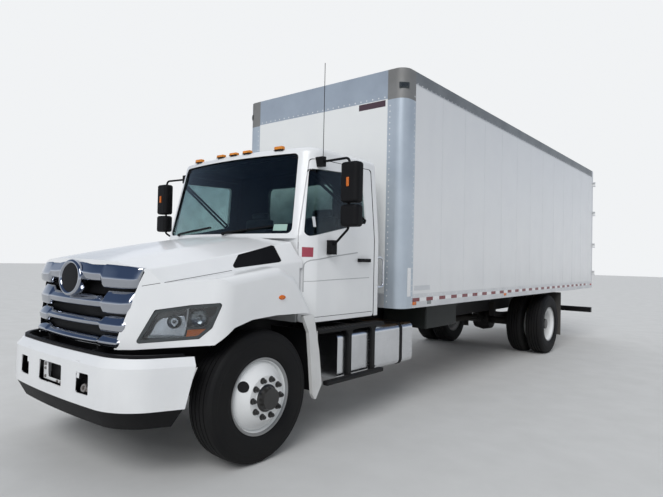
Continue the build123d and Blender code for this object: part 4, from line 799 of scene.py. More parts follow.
for side, word in SIDES:
    also(skins[f"door_{word}"], finishes["black plastic"],
         lambda place, normal: abs(place.y - HANDLE.y) < HANDLE_HALF
         and abs(place.z - HANDLE.z) < HANDLE_HALF_HEIGHT and abs(place.x) > DOOR_SKIN_X)
also(skins["box_rails"], finishes["rail aluminium"], lambda place, normal: place.z > TOP_RAIL_Z)
also(skins["box_rails"], finishes["front rail"],
     lambda place, normal: place.z > TOP_RAIL_Z and place.y < AXLE_Y + (BOX_FRONT + 60) * MM)
for side, word in SIDES:
    for node, behind in ((f"wheel_front_{word}", 0.0), (f"wheels_rear_{word}", REAR_AXLE)):
        centre = spot(0, behind, AXLE_Z)

        def reach(place, centre=centre):
            """How far a place lies from the wheel's axis."""
            return math.hypot(place.y - centre.y, place.z - centre.z)

        # the outer flange ring of each wheel takes painted shade
        also(skins[node], finishes["shaded rim flange"], lambda place, normal: reach(place) > FLANGE_RADIUS)
        also(skins[node], finishes["hub black"], lambda place, normal: reach(place) < HUB_RADIUS)
        print(node + ":", len(skins[node].data.materials), "finishes")

# %% [markdown]
# ## Grille
# The real grille is a chromed moulding: four winged bars that are slim in the middle and flare
# towards the ends, on a black backing, with an oval plate in the middle. A bar could be sculpted, but
# its section hardly changes. So one closed section is drawn at the right end and extruded station by
# station across the nose, and scaled in height at each one. The plate stays blank.

# %% The nose's face
NOSE_HALF, NOSE_FRONT, NOSE_BOW = 640, -960, 60  # half width of the bowed face, its middle and its bow
NOSE_TURN = 0.5524  # beside the bowed face, the nose falls back by this share
NOSE_FOOT, FOOT_LEAN = 800, -19
LEAN_BACK, LEAN_HEIGHT = 81, 1100


def nose_lean(z):
    """How far back the nose leans at this height."""
    return FOOT_LEAN + (z - NOSE_FOOT) * LEAN_BACK / LEAN_HEIGHT


def nose_place(x, z):
    """How far behind the front axle the leaning, bowed face of the nose lies."""
    lean = nose_lean(z)
    half = abs(x)
    if half <= NOSE_HALF:
        return NOSE_FRONT + NOSE_BOW * (half / NOSE_HALF) ** 2 + lean
    return NOSE_FRONT + NOSE_BOW + NOSE_TURN * (half - NOSE_HALF) + lean


def rise(value, start, stop):
    """0 up to start, 1 from stop on, and evenly between them."""
    return min(1.0, max(0.0, (value - start) / (stop - start)))


# %% The bars' outlines and section
FLARE_START, FLARE_STOP = 405, 447  # where a bar widens from its slim middle to its wing
BARS = (  # at the ends: lower and upper edge; in the middle: lower and upper edge; half the length
    (922, 1008, 928, 992, 651), (1030, 1141, 1062, 1126, 679), (1163, 1319, 1197, 1290, 708),
    (1342, 1480, 1386, 1503, 749),
)
TOP_BAR_FROM = 1400  # only the top bar's middle reaches above this
LONG_BAR, LONG_STATION = 700, 646  # a bar longer than this gets one station more
END_STEPS = (0, 5, 16, 45)  # stations this far in from a bar's end
STATIONS = (590, 530, FLARE_STOP, 437, 426, 415, FLARE_START, 360, 300, 240, 180, 120, 60, 0)
END_SLANT, END_LENGTH = 0.2, 110  # over this length, the ends lean outwards by this share of the height
LEAST_SLANT = 0.01  # a slant of zero could not be scaled to the next one
WING_PROUD, WING_RUN, END_CURL = 10, 60, 16
SECTION = (  # share of the height, distance behind the bar's front
    (0.0, 46), (0.0, 16), (0.05, 7), (0.16, 0), (0.40, -6), (0.50, -5), (0.56, -1), (0.74, 12), (0.9, 26),
    (1.0, 38), (1.0, 46),
)
TOP_SECTION = (  # the top bar stands prouder and wraps back over the hood's lip
    (0.0, 46), (0.0, 8), (0.04, -4), (0.12, -16), (0.36, -24), (0.44, -24), (0.49, -21), (0.7, -10),
    (0.9, 1), (0.97, 6), (1.0, 14), (1.0, 62),
)
TOP_EDGE = (  # distance from the middle, height of the top bar's upper edge
    (0, 1542), (120, 1541), (200, 1535), (300, 1520), (420, 1518), (646, 1507), (768, 1490),
)
print(len(BARS), "bars, drawn from", len(SECTION), "points")


# %% Chrome bars
def chrome_bar(name, end_low, end_high, mid_low, mid_high, half):
    """One bar, extruded across the nose from right to left."""
    top = mid_high > TOP_BAR_FROM
    outer = [half - step for step in END_STEPS] + [LONG_STATION] * (half > LONG_BAR)
    stations = [-x for x in (*outer, *STATIONS)]
    stations += [-x for x in reversed(stations[:-1])]

    def slant(x):
        """How much the cross section leans outwards here; it never quite reaches zero."""
        lean = LEAST_SLANT + END_SLANT * rise(abs(x), half - END_LENGTH, half)
        return lean if x > 0 else -lean

    def edges(x):
        """The bar's lower and upper edge at this place."""
        share = rise(abs(x), FLARE_START, FLARE_STOP)
        share = share * share * (3 - 2 * share)
        low = mid_low + share * (end_low - mid_low)
        if not top:
            return low, mid_high + share * (end_high - mid_high)
        for (near, near_z), (far, far_z) in zip(TOP_EDGE, TOP_EDGE[1:]):
            if abs(x) <= far:
                return low, near_z + (abs(x) - near) / (far - near) * (far_z - near_z)
        return low, TOP_EDGE[-1][1]

    def front(x, z):
        """The wings stand proud of the nose, and their ends curl back to it."""
        share = rise(abs(x), FLARE_START, FLARE_START + WING_RUN) * rise(half - abs(x), 0, END_CURL)
        return nose_place(x, z) - WING_PROUD * share

    start = stations[0]
    low, high = edges(start)
    points = []
    for up, back in TOP_SECTION if top else SECTION:
        z = low + up * (high - low)
        points.append(spot(start + slant(start) * (up - 0.5) * (high - low), front(start, z) + back, z))
    bar = sheet_of(name, points)
    edit(bar, "FACE")
    for here, there in zip(stations, stations[1:]):
        low, high = edges(here)
        next_low, next_high = edges(there)
        middle, next_middle = (low + high) / 2, (next_low + next_high) / 2
        target = spot(there, front(there, next_middle), next_middle)
        step = target - spot(here, front(here, middle), middle)
        bpy.ops.mesh.extrude_region_move(TRANSFORM_OT_translate={"value": step})
        taller = (next_high - next_low) / (high - low)
        bpy.ops.transform.resize(value=(slant(there) / slant(here) * taller, 1, taller),
                                 center_override=target)
    leave()
    return mend(bar)


bars = [chrome_bar(f"grille_bar_{number}", *values) for number, values in enumerate(BARS)]
grille_bars = settle(joined("grille_bars", bars), finishes["chrome"], "hood", 40)
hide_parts("grille")

# %% Backing, plate and pivot arms
BACKING_DEPTH = 54
BACKING = ((-582, 922), (-752, 1464), (-400, 1500), (0, 1500), (400, 1500), (752, 1464), (582, 922),
           (300, 922), (0, 922), (-300, 922))
backing = slab("grille_backing", [spot(x, nose_place(x, z) + BACKING_DEPTH, z) for x, z in BACKING],
               Vector((0, 0.012, 0)))
settle(backing, finishes["black plastic"], "hood", 60)
PLATE_WIDE = 1.27  # the ring is an oval, this much wider than high
RING_HEIGHT, RING_PROUD, RING_FACING = 1400, 18, (0, -1, 0.07)
ring_at = spot(0, nose_place(0, RING_HEIGHT) - RING_PROUD, RING_HEIGHT)
RING_PROFILE = [(-40, 138), (4, 141), (12, 137), (18, 128), (18, 120), (11, 111), (0, 107), (-40, 107)]
BLANK_PROFILE = [(-30, 0), (-30, 109), (7, 109), (10, 84), (11, 40), (11, 0)]
for name, profile, material, slot in (("grille_ring", RING_PROFILE, "chrome", "chrome"),
                                      ("grille_blank", BLANK_PROFILE, "black plastic", "black_plastic")):
    disc = spun(name, profile, ring_at, RING_FACING, 64)
    edit(disc)
    bpy.ops.transform.resize(value=(PLATE_WIDE, 1, 1), center_override=ring_at)
    leave()
    settle(disc, finishes[material], "hood", 50)
arms = [block(f"arm_{word}", spot(side * 394, -908, 915), (15, 42, 100), 3) for side, word in SIDES]
settle(joined("grille_arms", arms), finishes["chassis paint"], "hood")

# %% [markdown]
# ## Behind the bumper's openings
# A dark cross tube lies behind the bumper, and through the openings one sees it, the empty plate
# bracket and the tow eyes. Each is a small plate, block or spun ring. A dark baffle above them
# closes the gap in front of the radiator.

# %% Cross tube, baffle and plate bracket
beam = block("bumper_beam", spot(0, -985, 690), (1160, 60, 230), 8, 3)
settle(beam, finishes["black plastic"], "chassis")
baffle = block("radiator_baffle", spot(0, -846, 815), (1240, 6, 236), 2)
settle(baffle, finishes["black plastic"], "chassis")
PLATE_Z, PLATE_FRONT = 690, -1056
PLATE = ((-178, 618), (178, 618), (178, 640), (-98, 640), (-106, 664), (-106, 758), (-168, 758), (-178, 740))
bracket = slab("plate_bracket", [spot(x, PLATE_FRONT, z) for x, z in PLATE], Vector((0, 0.006, 0)), 0.004, 1)
ears = [block(f"ear_{x}", spot(x, PLATE_FRONT + 20, PLATE_Z), (26, 40, 120), 3) for x in (-150, 150)]
settle(joined("plate_bracket", [bracket] + ears), finishes["bumper paint"], "chassis")

# %% Bolts and tow eyes
BOLT = [(0, 0), (0, 12), (2, 12), (3, 9), (9, 8), (10, 0)]
EYE = [(0, 15), (0, 27), (8, 30), (16, 27), (16, 15), (8, 12), (0, 15)]
bolts = [spun("bolt", BOLT, spot(x, PLATE_FRONT - 1, z), (0, -1, 0), 6)
         for x, z in ((-140, 732), (-140, 700), (-140, 640), (60, 629), (120, 629))]
for x in (-430, 430):
    bolts.append(spun("eye", EYE, spot(x + 44, -1048, 646), (0.2, -1, 0.3), 24))
    bolts.append(block("hook", spot(x + 60, -1030, 640), (60, 50, 34), 6))
settle(joined("bumper_bolts", bolts), finishes["exhaust steel"], "chassis", 30)

# %% [markdown]
# ## Headlights
# Each lamp lies on a slanted face between the grille and the fender. It is a dark bezel with two
# bowls behind a clear cover and an amber corner below. The bezel is an outline with rounded
# corners, inset, pushed in and inset again. The bowls are spun, and the cover is a thin slab of glass.

# %% A place on the lamp's face
ALONG_X, ALONG_Y = 0.725, 0.689  # the lamp's face runs outwards and back in these shares
LEAN_X, LEAN_Y = 0.4995, 0.5256  # how the nose's lean moves the face
OUTWARD = Vector((0.689, -0.725, 0.053)).normalized()


def lamp_spot(along, z, out=0.0):
    """A place on the left lamp's face: along it, above the ground and out of it, in millimetres."""
    lean = nose_lean(z)
    foot = spot(745 + ALONG_X * along - LEAN_X * lean, -842 + ALONG_Y * along + LEAN_Y * lean, z)
    return foot + OUTWARD * out * MM


LAMP_EDGE = ((4, 966), (440, 1003), (529, 1079), (599, 1253), (377, 1234), (133, 1196))
lamp = sheet_of("headlight_left", [lamp_spot(*corner, -3) for corner in LAMP_EDGE], 0.02, 5)
edit(lamp, "FACE")
bpy.ops.mesh.inset(thickness=0.019)
bpy.ops.mesh.extrude_region_move(TRANSFORM_OT_translate={"value": -OUTWARD * 0.05})
bpy.ops.mesh.inset(thickness=0.012)
leave()
modify(lamp, "SOLIDIFY", thickness=0.003, offset=0.0)
mend(lamp)
settle(lamp, finishes["lamp bezel"], "hood")
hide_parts("headlights")

# %% Plates of the lamp
lamp_pieces = [(lamp, "lamp")]


def lamp_plate(name, outline, out, depth, corner, edge, material, slot="lamp"):
    """A plate of the left lamp: its outline as (along, height), its place out of the face, its depth
    and the radius of its corners in metres, and the width of its edges in millimetres."""
    corners = [lamp_spot(*place, out) for place in outline]
    piece = slab(f"headlight_{name}_left", corners, OUTWARD * depth, corner, edge)
    settle(piece, finishes[material], "hood")
    lamp_pieces.append((piece, slot))


lamp_plate("panel", ((92, 1012), (136, 1108), (172, 1138), (330, 1164), (350, 1089), (333, 1014)),
           -47, 0.01, 0.012, 3, "reflector")

# %% Bowls and their bulbs
BOWL = [(0, 14), (3, 40), (12, 62), (27, 80), (44, 92), (46, 92), (30, 83), (12, 66), (0, 44), (-4, 14)]
BULB = [(0, 0), (0, 12), (12, 13), (18, 9), (21, 0)]
bowls = []
for number, (along, z, share, depth) in enumerate(((262, 1118, 0.52, -40), (434, 1146, 0.72, -50))):
    profile = [(out * share, radius * share) for out, radius in BOWL]
    bowls.append(spun(f"bowl_{number}", profile, lamp_spot(along, z, depth), OUTWARD, 40))
    bowls.append(spun(f"bulb_{number}", BULB, lamp_spot(along, z, depth + 3), OUTWARD, 20))
bowls = settle(joined("headlight_bowls_left", bowls), finishes["dark reflector"], "hood", 50)
lamp_pieces.append((bowls, "lamp"))

# %% Divider, amber piece, step, cover and the right lamp
lamp_plate("divider", ((345, 1085), (353, 1085), (366, 1216), (355, 1215)),
           -22, 0.016, 0.003, 2, "blank pale label")
lamp_plate("amber", ((350, 1004), (382, 1000), (466, 1022), (494, 1072), (360, 1064)),
           -30, 0.02, 0.008, 3, "orange lens", "amber")
lamp_plate("step", ((78, 1000), (332, 1004), (336, 1020), (92, 1024)),
           -34, 0.012, 0.006, 3, "dark reflector")
lamp_plate("cover", ((22, 983), (434, 1013), (508, 1082), (580, 1239), (375, 1220), (142, 1180)),
           -6, 0.004, 0.014, 0, "clear lens")
for piece, slot in lamp_pieces:
    settle(mirrored(piece, piece.name.replace("left", "right")), None, "hood", 40)

# %% [markdown]
# ## Tyres
# A tyre is a round piece, so its section is drawn once and spun. Four grooves run round the
# tread. The driven rear tyres get shoulder lugs as well: every third face of the shoulder ribs is
# selected by its angle and pushed in. The sidewall carries plain rings and no lettering.

# %% Tyre section
TREAD, CROWN_DROP, TREAD_HALF = 512, 6, 105  # the tread's radius, and how far it falls towards its edge
GROOVES = (-66, -23, 23, 66)
SIDEWALL = [(112, 299), (122, 306), (126, 318), (134, 336), (137, 352), (139, 380), (139, 410), (137, 428),
            (138, 430), (138, 436), (136, 438), (131, 462), (127, 474), (128, 477), (126, 484), (116, 496),
            (106, 504), (101, 506)]
LINER = [(-92, 300), (-116, 345), (-116, 420), (-94, 480), (94, 480), (116, 420), (116, 345), (92, 300)]


def tyre_section(rear):
    """The whole section as (out, radius): outer sidewall, tread, inner sidewall and the liner inside."""
    depth, half = (16, 6) if rear else (12, 5)
    tread = []
    for place in reversed(GROOVES):
        crown = TREAD - CROWN_DROP * (abs(place) / TREAD_HALF) ** 2
        tread += [(place + half, crown), (place + half - 1, crown - depth),
                  (place - half + 1, crown - depth), (place - half, crown)]
    inner = [(-out, radius) for out, radius in reversed(SIDEWALL)]
    return SIDEWALL + tread + inner + LINER + SIDEWALL[:1]


# %% Tyres
LUG_IN, LUG_OUT, LUG_FROM_RADIUS = 72, 131, 486
LUG_TURN, LUG_EVERY, LUG_DEPTH = 3.75, 3, 0.011  # a face's angle; each third face is pushed in this deep


def tyre(name, middle, behind, rear):
    """One tyre round its rim's middle, in millimetres."""
    centre = spot(middle, behind, AXLE_Z)
    piece = spun(name, tyre_section(rear), centre, (1, 0, 0), 96)
    if rear:

        def lug(place, normal):
            out = abs(place.x - centre.x) / MM
            turn = math.degrees(math.atan2(place.z - centre.z, place.y - centre.y))
            radius = math.hypot(place.y - centre.y, place.z - centre.z) / MM
            step = int((turn + 360) // LUG_TURN)
            return LUG_IN < out < LUG_OUT and radius > LUG_FROM_RADIUS and step % LUG_EVERY == 0

        edit(piece, "FACE")
        select_faces(piece, lug)
        bpy.ops.mesh.extrude_region_shrink_fatten(TRANSFORM_OT_shrink_fatten={"value": -LUG_DEPTH})
        leave()
    return piece


TRACK_FRONT, TRACK_REAR, TWIN = 1030, 914, 171.5
for side, word in SIDES:
    front = tyre(f"tyre_front_{word}_tread", side * TRACK_FRONT, 0, False)
    settle(front, finishes["tyre rubber"], f"front_wheel_{word}", 30)
    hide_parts(f"tyre_front_{word}")
    twins = [tyre(f"twin_{word}_{number}", side * (TRACK_REAR + apart), REAR_AXLE, True)
             for number, apart in enumerate((TWIN, -TWIN))]
    twins = joined(f"tyres_rear_{word}_tread", twins)
    settle(twins, finishes["tyre rubber"], f"rear_wheels_{word}", 30)
    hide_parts(f"tyres_rear_{word}")

# %% [markdown]
# ## Wheel nuts and hub caps
# Ten nuts hold each wheel. One nut is a six-sided cylinder with a soft edge and a stud in it, and
# the spin operator, set to make copies, puts ten of them round the hub. The caps are spun.

# %% Nuts and caps
NUT_COUNT, NUT_RING = 10, 0.143
NUT_RADIUS, NUT_LENGTH, NUT_OUT = 0.0185, 0.03, 0.014
STUD = [(0, 0), (0, 11), (38, 11), (41, 8), (41, 0)]
WASHER = [(-2, 0), (-2, 25), (5, 24), (7, 19), (7, 0)]
CAP = [(0, 90), (4, 86), (6, 79), (26, 76), (34, 70), (38, 58), (41, 30), (42, 0)]
for side, word in SIDES:
    for place, behind, body, face, material in (
            ("front", 0, f"front_wheel_{word}", TRACK_FRONT + 176, "hub black"),
            ("rear", REAR_AXLE, f"rear_wheels_{word}", TRACK_REAR + 18, "exhaust steel")):
        centre = spot(0, behind, AXLE_Z)
        first = centre + Vector((side * face * MM, NUT_RING, 0))
        deselect()
        bpy.ops.mesh.primitive_cylinder_add(vertices=6, radius=NUT_RADIUS, depth=NUT_LENGTH,
                                            location=first + Vector((side * NUT_OUT, 0, 0)),
                                            rotation=(0, math.pi / 2, 0))
        nut = new_piece("nut")
        apply_place()
        soften(nut, 2.0, 2)
        stud = spun("stud", STUD, first, (side, 0, 0), 12)
        washer = spun("washer", WASHER, first, (side, 0, 0), 18)
        nuts = joined(f"nuts_{place}_{word}", [nut, stud, washer])
        around(nuts, NUT_COUNT, centre, (1, 0, 0))
        settle(nuts, finishes[material], body, 30)
for side, word in SIDES:
    cap = spun(f"hub_cap_front_{word}", CAP, spot(side * (TRACK_FRONT + 192), 0, AXLE_Z), (side, 0, 0), 40)
    settle(cap, finishes["hub black"], f"front_wheel_{word}", 40)

# %% [markdown]
# ## Roof lamps and marker lamps
# Five amber lamps stand on the roof's front edge. Each is a small domed lens on a dark base. A
# cube with a strongly rounded edge gives the real moulded form, and the roof is felt for with a ray
# so that each base sits on it.

# %% Roof lamps
roof_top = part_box("roof_lights")[1].z / MM
domes, bases = [], []
for x, behind in ((0, 640), (200, 641), (-200, 641), (607, 676), (-607, 676)):
    ground, _ = touch("cab_shell", spot(x, behind, 3000), (0, 0, -1))
    lift = ground.z / MM
    room = roof_top - lift
    domes.append(block(f"dome_{x}", spot(x, behind, lift + room * 0.55), (104, 48, room * 0.85), 9, 5))
    bases.append(block(f"base_{x}", spot(x, behind, lift + 2), (108, 52, 6), 2, 2))
lamps = settle(joined("roof_lamp_lenses", domes), finishes["amber lens"], "chassis", 50)
settle(joined("roof_lamp_bases", bases), finishes["seal rubber"], "chassis")
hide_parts("roof_lights")

# %% Side markers and tape
marker_at = on_side("hood", 160, 1272)
marker = spun("fender_marker_left", [(0, 0), (0, 30), (6, 28), (11, 20), (13, 0)], marker_at, (1, 0, 0), 32)
edit(marker)
bpy.ops.transform.resize(value=(1, 1.25, 0.62), center_override=marker_at)
leave()
settle_pair(marker, finishes["orange lens"], "hood", 60)
MARKER_SIZE, MARKER_OUT = (14, 62, 34), 6
TAPE_START, TAPE_LENGTH, TAPE_HEIGHT, TAPE_MIDDLE = 2130, 152, 40, 1160
TAPE_PAIRS, TAPE_STEP = 24, 305
for side, word in SIDES:
    marker_x = side * (BOX_HALF + MARKER_OUT)
    small = [block(f"marker_{word}_{behind}", spot(marker_x, behind, 1122), MARKER_SIZE, 5)
             for behind in (2166, 4772)]
    settle(joined(f"box_markers_{word}", small), finishes["orange lens"], "chassis", 50)
    last = block(f"box_marker_rear_{word}", spot(marker_x, BOX_REAR - 130, 1150), MARKER_SIZE, 5)
    settle(last, finishes["red lens"], "chassis", 50)
    for colour, start, slot in (("red", 0, "red_lens"), ("white", TAPE_LENGTH, "box_white")):
        middle = spot(side * (BOX_HALF + 0.5), TAPE_START + start + TAPE_LENGTH / 2, TAPE_MIDDLE)
        strip = block(f"tape_{colour}_{word}", middle, (1.0, TAPE_LENGTH - 1, TAPE_HEIGHT), 0.3, 1)
        row(strip, TAPE_PAIRS, (0, TAPE_STEP, 0))
        settle(strip, finishes[f"{colour} tape"], "chassis", 0)

# %% Blank label places and tape on the corner post
LABEL_DEPTH = 1.2
front_label = block("front_label", spot(793, BOX_FRONT - LABEL_DEPTH / 2, 3284), (356, LABEL_DEPTH, 68),
                    0.4, 1)
settle(front_label, finishes["blank dark label"], "chassis", 0)
for side, word in SIDES:
    for name, behind, z, length, tall, material in (
            ("side_label", 2340, 1288, 350, 52, "blank pale label"),
            ("side_plate", 2498, 1120, 96, 40, "rail aluminium"),
            ("post_tape", 2052, 1354, 70, 306, "white tape")):
        piece = block(f"{name}_{word}", spot(side * (BOX_HALF + LABEL_DEPTH / 2), behind, z),
                      (LABEL_DEPTH, length, tall), 0.4, 1)
        settle(piece, finishes[material], "chassis", 0)

# %% [markdown]
# ## Rivets and seams on the box
# Rows of dome rivets hold the sheets to the rails, posts and corner flanges. One rivet is a short
# eight-sided cone with a wide top, repeated along a row with the Array modifier, and the row is
# repeated for the next seam. Each rivet has only ten faces.


# %% Rivets
def rivets(name, place, axis, repeats, radius=8.5):
    """Rivets from this place on. repeats lists the count and the step of each repeat."""
    deselect()
    axis = Vector(axis)
    turn = axis.to_track_quat("Z", "Y").to_euler()
    bpy.ops.mesh.primitive_cone_add(vertices=8, radius1=radius * MM, radius2=radius * 0.5 * MM,
                                    depth=2.6 * MM, location=place + axis * 1.2 * MM, rotation=turn)
    piece = new_piece(name)
    apply_place()
    for count, step in repeats:
        row(piece, count, step)
    return piece


SEAM, SHEET_STEP, SHEET_COUNT = 830, 610, 12  # the first seam behind the front, then one each 610 mm
SIDE_RIVETS = (  # name, place behind the box's front, height, repeats and radius
    ("flange", 200, 1130, [(37, (0, 0, 62))], 8.5), ("rail", 260, 3515, [(74, (0, 102, 0))], 8.5),
    ("sill", 260, 1205, [(74, (0, 102, 0))], 8.5),
    ("seam", SEAM, 1300, [(22, (0, 0, 100)), (SHEET_COUNT, (0, SHEET_STEP, 0))], 5.0),
)
for side, word in SIDES:
    rows = [rivets(name, spot(side * BOX_HALF, BOX_FRONT + behind, z), (side, 0, 0), repeats, radius)
            for name, behind, z, repeats, radius in SIDE_RIVETS]
    rows.append(rivets("front", spot(side * (BOX_HALF - 190), BOX_FRONT, 1140), (0, -1, 0),
                       [(35, (0, 0, 62))]))
    settle(joined(f"rivets_{word}", rows), finishes["rivet"], "chassis", 0)
top_row = rivets("top", spot(-960, BOX_FRONT, 3350), (0, -1, 0), [(25, (80, 0, 0))])
posts = rivets("posts", spot(-490, BOX_FRONT, 1320), (0, -1, 0), [(20, (0, 0, 100)), (3, (490, 0, 0))], 6.0)
settle(joined("rivets_front", [top_row, posts]), finishes["rivet"], "chassis", 0)

# %% Laps of the sheets and the trim along their top
EDGE_START, EDGE_STOP = BOX_FRONT + 226, BOX_REAR - 110
laps = []
for side, word in SIDES:
    lap = block("lap", spot(side * (BOX_HALF + 0.4), BOX_FRONT + SEAM + 20, 2362), (1.6, 3, 2270), 0.5, 1)
    laps.append(row(lap, SHEET_COUNT, (0, SHEET_STEP, 0)))
    laps.append(block("edge", spot(side * (BOX_HALF + 1), (EDGE_START + EDGE_STOP) / 2, 3502),
                      (4, EDGE_STOP - EDGE_START, 8), 1.5, 2))
settle(joined("sheet_laps", laps), finishes["side rail"], "chassis", 0)

# %% Corner caps: recessed lamp on the rounded corner
CAP_LAMP = (("bezel", (112, 14, 66), 0.0, "lamp bezel", "black_plastic"),
            ("lens", (84, 14, 40), 0.004, "clear lens", "lamp"))
for side, word in SIDES:
    corner = spot(side * (BOX_HALF - 37), BOX_FRONT + 37, 3452)
    for part, size, out, material, slot in CAP_LAMP:
        piece = block(f"cap_lamp_{part}_{word}", Vector((0, 0, 0)), size, 6, 3)
        piece.rotation_euler = (0, 0, side * math.pi / 4)
        piece.location = corner + Vector((side, -1, 0)) * out * 0.7
        settle(piece, finishes[material], "chassis")

# %% [markdown]
# ## Mirror lamps and the wheels' hand holes
# A small amber lamp stands upright on the front of each mirror. The hand hole of a front wheel reads
# as a dark oval, because it opens into the shade behind the disc. The frame's hole is narrow, so a
# dark round patch of painted shade is spun flat and each of its points is then laid on the slope of
# the disc.

# %% Mirror lamps
mirror_lamp = block("mirror_lamp_left", spot(1398, 712, 2248), (27, 12, 80), 5, 3)
settle_pair(mirror_lamp, finishes["orange lens"], "door_left", 50)

# %% Dark ovals of painted shade on the hand holes
HOLE_REACH, HOLE_TURN = 222, math.radians(151)
HOLE_SQUEEZE, HOLE_PROUD = 0.74, 1.5
BESIDE = math.radians(118)  # the disc is felt for here, beside the hole


def disc_face(reach):
    """How far left the wheel's turned disc lies at this distance from its axle, in metres."""
    start = spot(2000, reach * math.cos(BESIDE), AXLE_Z + reach * math.sin(BESIDE))
    place, _ = touch("wheel_front_left", start, (-1, 0, 0))
    return place.x


# a flat black patch of painted shade, laid on the disc round the hand hole
hole = spun("hand_hole_left", [(0, 0), (0, 14), (0, 28), (0, 42)], Vector((0, 0, 0)), (1, 0, 0), 32)
for vertex in hole.data.vertices:
    reach = HOLE_REACH + vertex.co.z / MM * HOLE_SQUEEZE
    across = vertex.co.y / MM
    behind = reach * math.cos(HOLE_TURN) - across * math.sin(HOLE_TURN)
    up = reach * math.sin(HOLE_TURN) + across * math.cos(HOLE_TURN)
    vertex.co = spot(disc_face(math.hypot(behind, up)) / MM + HOLE_PROUD, behind, AXLE_Z + up)
settle_pair(hole, finishes["black plastic"], "front_wheel_left", 50)
print("dark ovals lie on the hand holes")

# %% [markdown]
# ## Door and cab details
# The windows sit in black rubber, drawn here as tubes that follow each opening a little inside its
# edge. The door carries two pressed lines, a blank red label place and a rubber sill. Their places
# are found on the door's own skin with a ray.

# %% Rubber round the windows
DOOR_WINDOW = [(596, 1772), (718, 2400), (1448, 2432), (1452, 1948)]
WINDSHIELD = [(-912, 1804), (-838, 2552), (838, 2552), (912, 1804)]


def rounded(points, radius, steps=5):
    """A closed outline in (behind, z) with round corners, as a list of points."""
    outline = []
    for number, point in enumerate(points):
        corner = Vector(point)
        before = Vector(points[number - 1]) - corner
        after = Vector(points[(number + 1) % len(points)]) - corner
        start = corner + before.normalized() * radius
        end = corner + after.normalized() * radius
        for step in range(steps + 1):
            share = step / steps
            outline.append(start * (1 - share) ** 2 + 2 * share * (1 - share) * corner + end * share ** 2)
    return outline


def spread(points, longest):
    """The same closed outline with extra points on its long runs."""
    outline = []
    for here, there in zip(points, points[1:] + points[:1]):
        count = max(1, math.ceil((there - here).length / longest))
        outline += [here.lerp(there, number / count) for number in range(count)]
    return outline


outline = spread(rounded(DOOR_WINDOW, 46), 90)
path = [touch("door_glass_left", spot(2000, behind, z), (-1, 0, 0))[0] for behind, z in outline]
path = [place + Vector((0.004, 0, 0)) for place in path if place is not None]
seal = tube("door_seal_left", path + path[:1], 14)
settle_pair(seal, finishes["seal rubber"], "door_left", 60)
outline = spread(rounded(WINDSHIELD, 62), 110)
path = [touch("cab_glass", spot(x, 0, z), (0, 1, 0))[0] for x, z in outline]
path = [place for place in path if place is not None and place.y < AXLE_Y + 1.0]
seal = tube("windshield_seal", path + path[:1], 15)
settle(seal, finishes["seal rubber"], "chassis", 60)
print("windshield seal through", len(path), "places")

# %% Door label, press lines, sill and hood seam
label = decal("door_label_left", skins["door_left"], ((588, 1598), (668, 1599), (671, 1683), (588, 1685)))
settle_pair(label, finishes["blank red label"], "door_left")


def line_on(name, node, points, radius, proud, step=30):
    """A fine bar that follows a node's left side through points given as (behind, height)."""
    path = []
    corners = [Vector(point) for point in points]
    for here, there in zip(corners, corners[1:]):
        count = max(1, round((there - here).length / step))
        path += [here.lerp(there, number / count) for number in range(count)]
    path = [on_side(node, *point, proud) for point in (*path, corners[-1])]
    return tube(name, path, radius)


# the press lines are bars in a grey that is painted shade along the creases; the sill and the hood seam are
# rubber
LINES = (  # name, node, points as (behind, height), radius, proud of the skin, finish and slot
    ("door_press_left_0", "door_left",
     ((600, 1290), (600, 1500), (604, 1535), (620, 1556), (650, 1570), (862, 1599), (1125, 1632),
      (1300, 1652)), 7, -4.0, "painted crease shade", "cab_white"),
    ("door_press_left_1", "door_left", ((604, 1382), (869, 1393), (1200, 1400), (1500, 1407)),
     5, -3.4, "painted crease shade", "cab_white"),
    ("door_sill_left", "door_left", ((600, 1066), (1556, 1066)), 3.0, -1.6, "seal rubber", "rubber"),
    ("hood_seam_left", "hood",
     ((-806, 1366), (-719, 1389), (-571, 1413), (-406, 1439), (-229, 1467), (-150, 1480)),
     2.2, -1.0, "seal rubber", "rubber"),
)
for name, node, points, radius, proud, material, slot in LINES:
    settle_pair(line_on(name, node, points, radius, proud), finishes[material], node, 60)

# %% Blank stickers on the glass
STICKER = ((697, 1831), (844, 1831), (844, 1889), (697, 1889))
sticker = decal("windshield_sticker", skins["cab_glass"], STICKER, "y", 1.5)
settle(sticker, finishes["blank green label"], "chassis", 0)
STICKER = ((690, 1868), (716, 1868), (716, 1960), (690, 1960))
sticker = decal("door_sticker_left", skins["door_glass_left"], STICKER, "x", 1.5, 4)
settle(sticker, finishes["blank pale label"], "door_left", 0)

# %% Grab tubes on the cab's rear corners
GRAB_LOW, GRAB_HIGH = 1306, 1612
GRAB = [(1046, 1640, GRAB_LOW), (1050, 1808, 1303), (1050, 1802, 1610), (1046, 1640, GRAB_HIGH)]
FOOT = [(0, 0), (0, 24), (6, 24), (9, 20), (9, 0)]
grab = tube("cab_grab_left", [spot(*place) for place in GRAB], 12, 45, 4)
feet = [spun(f"foot_{z}", FOOT, spot(1048, 1652, z), (0, 1, 0), 20) for z in (GRAB_LOW, GRAB_HIGH)]
grab = joined("cab_grab_left", [grab] + feet)
settle_pair(grab, finishes["polished aluminium"], "chassis", 50)

# %% [markdown]
# ## Steps
# Two boards hang under each door on flat hangers whose tops widen like a bracket. The boards have a
# rounded nose, and a tread of raised rings stops a boot from slipping. A ring is spun once and
# repeated in rows along the board.

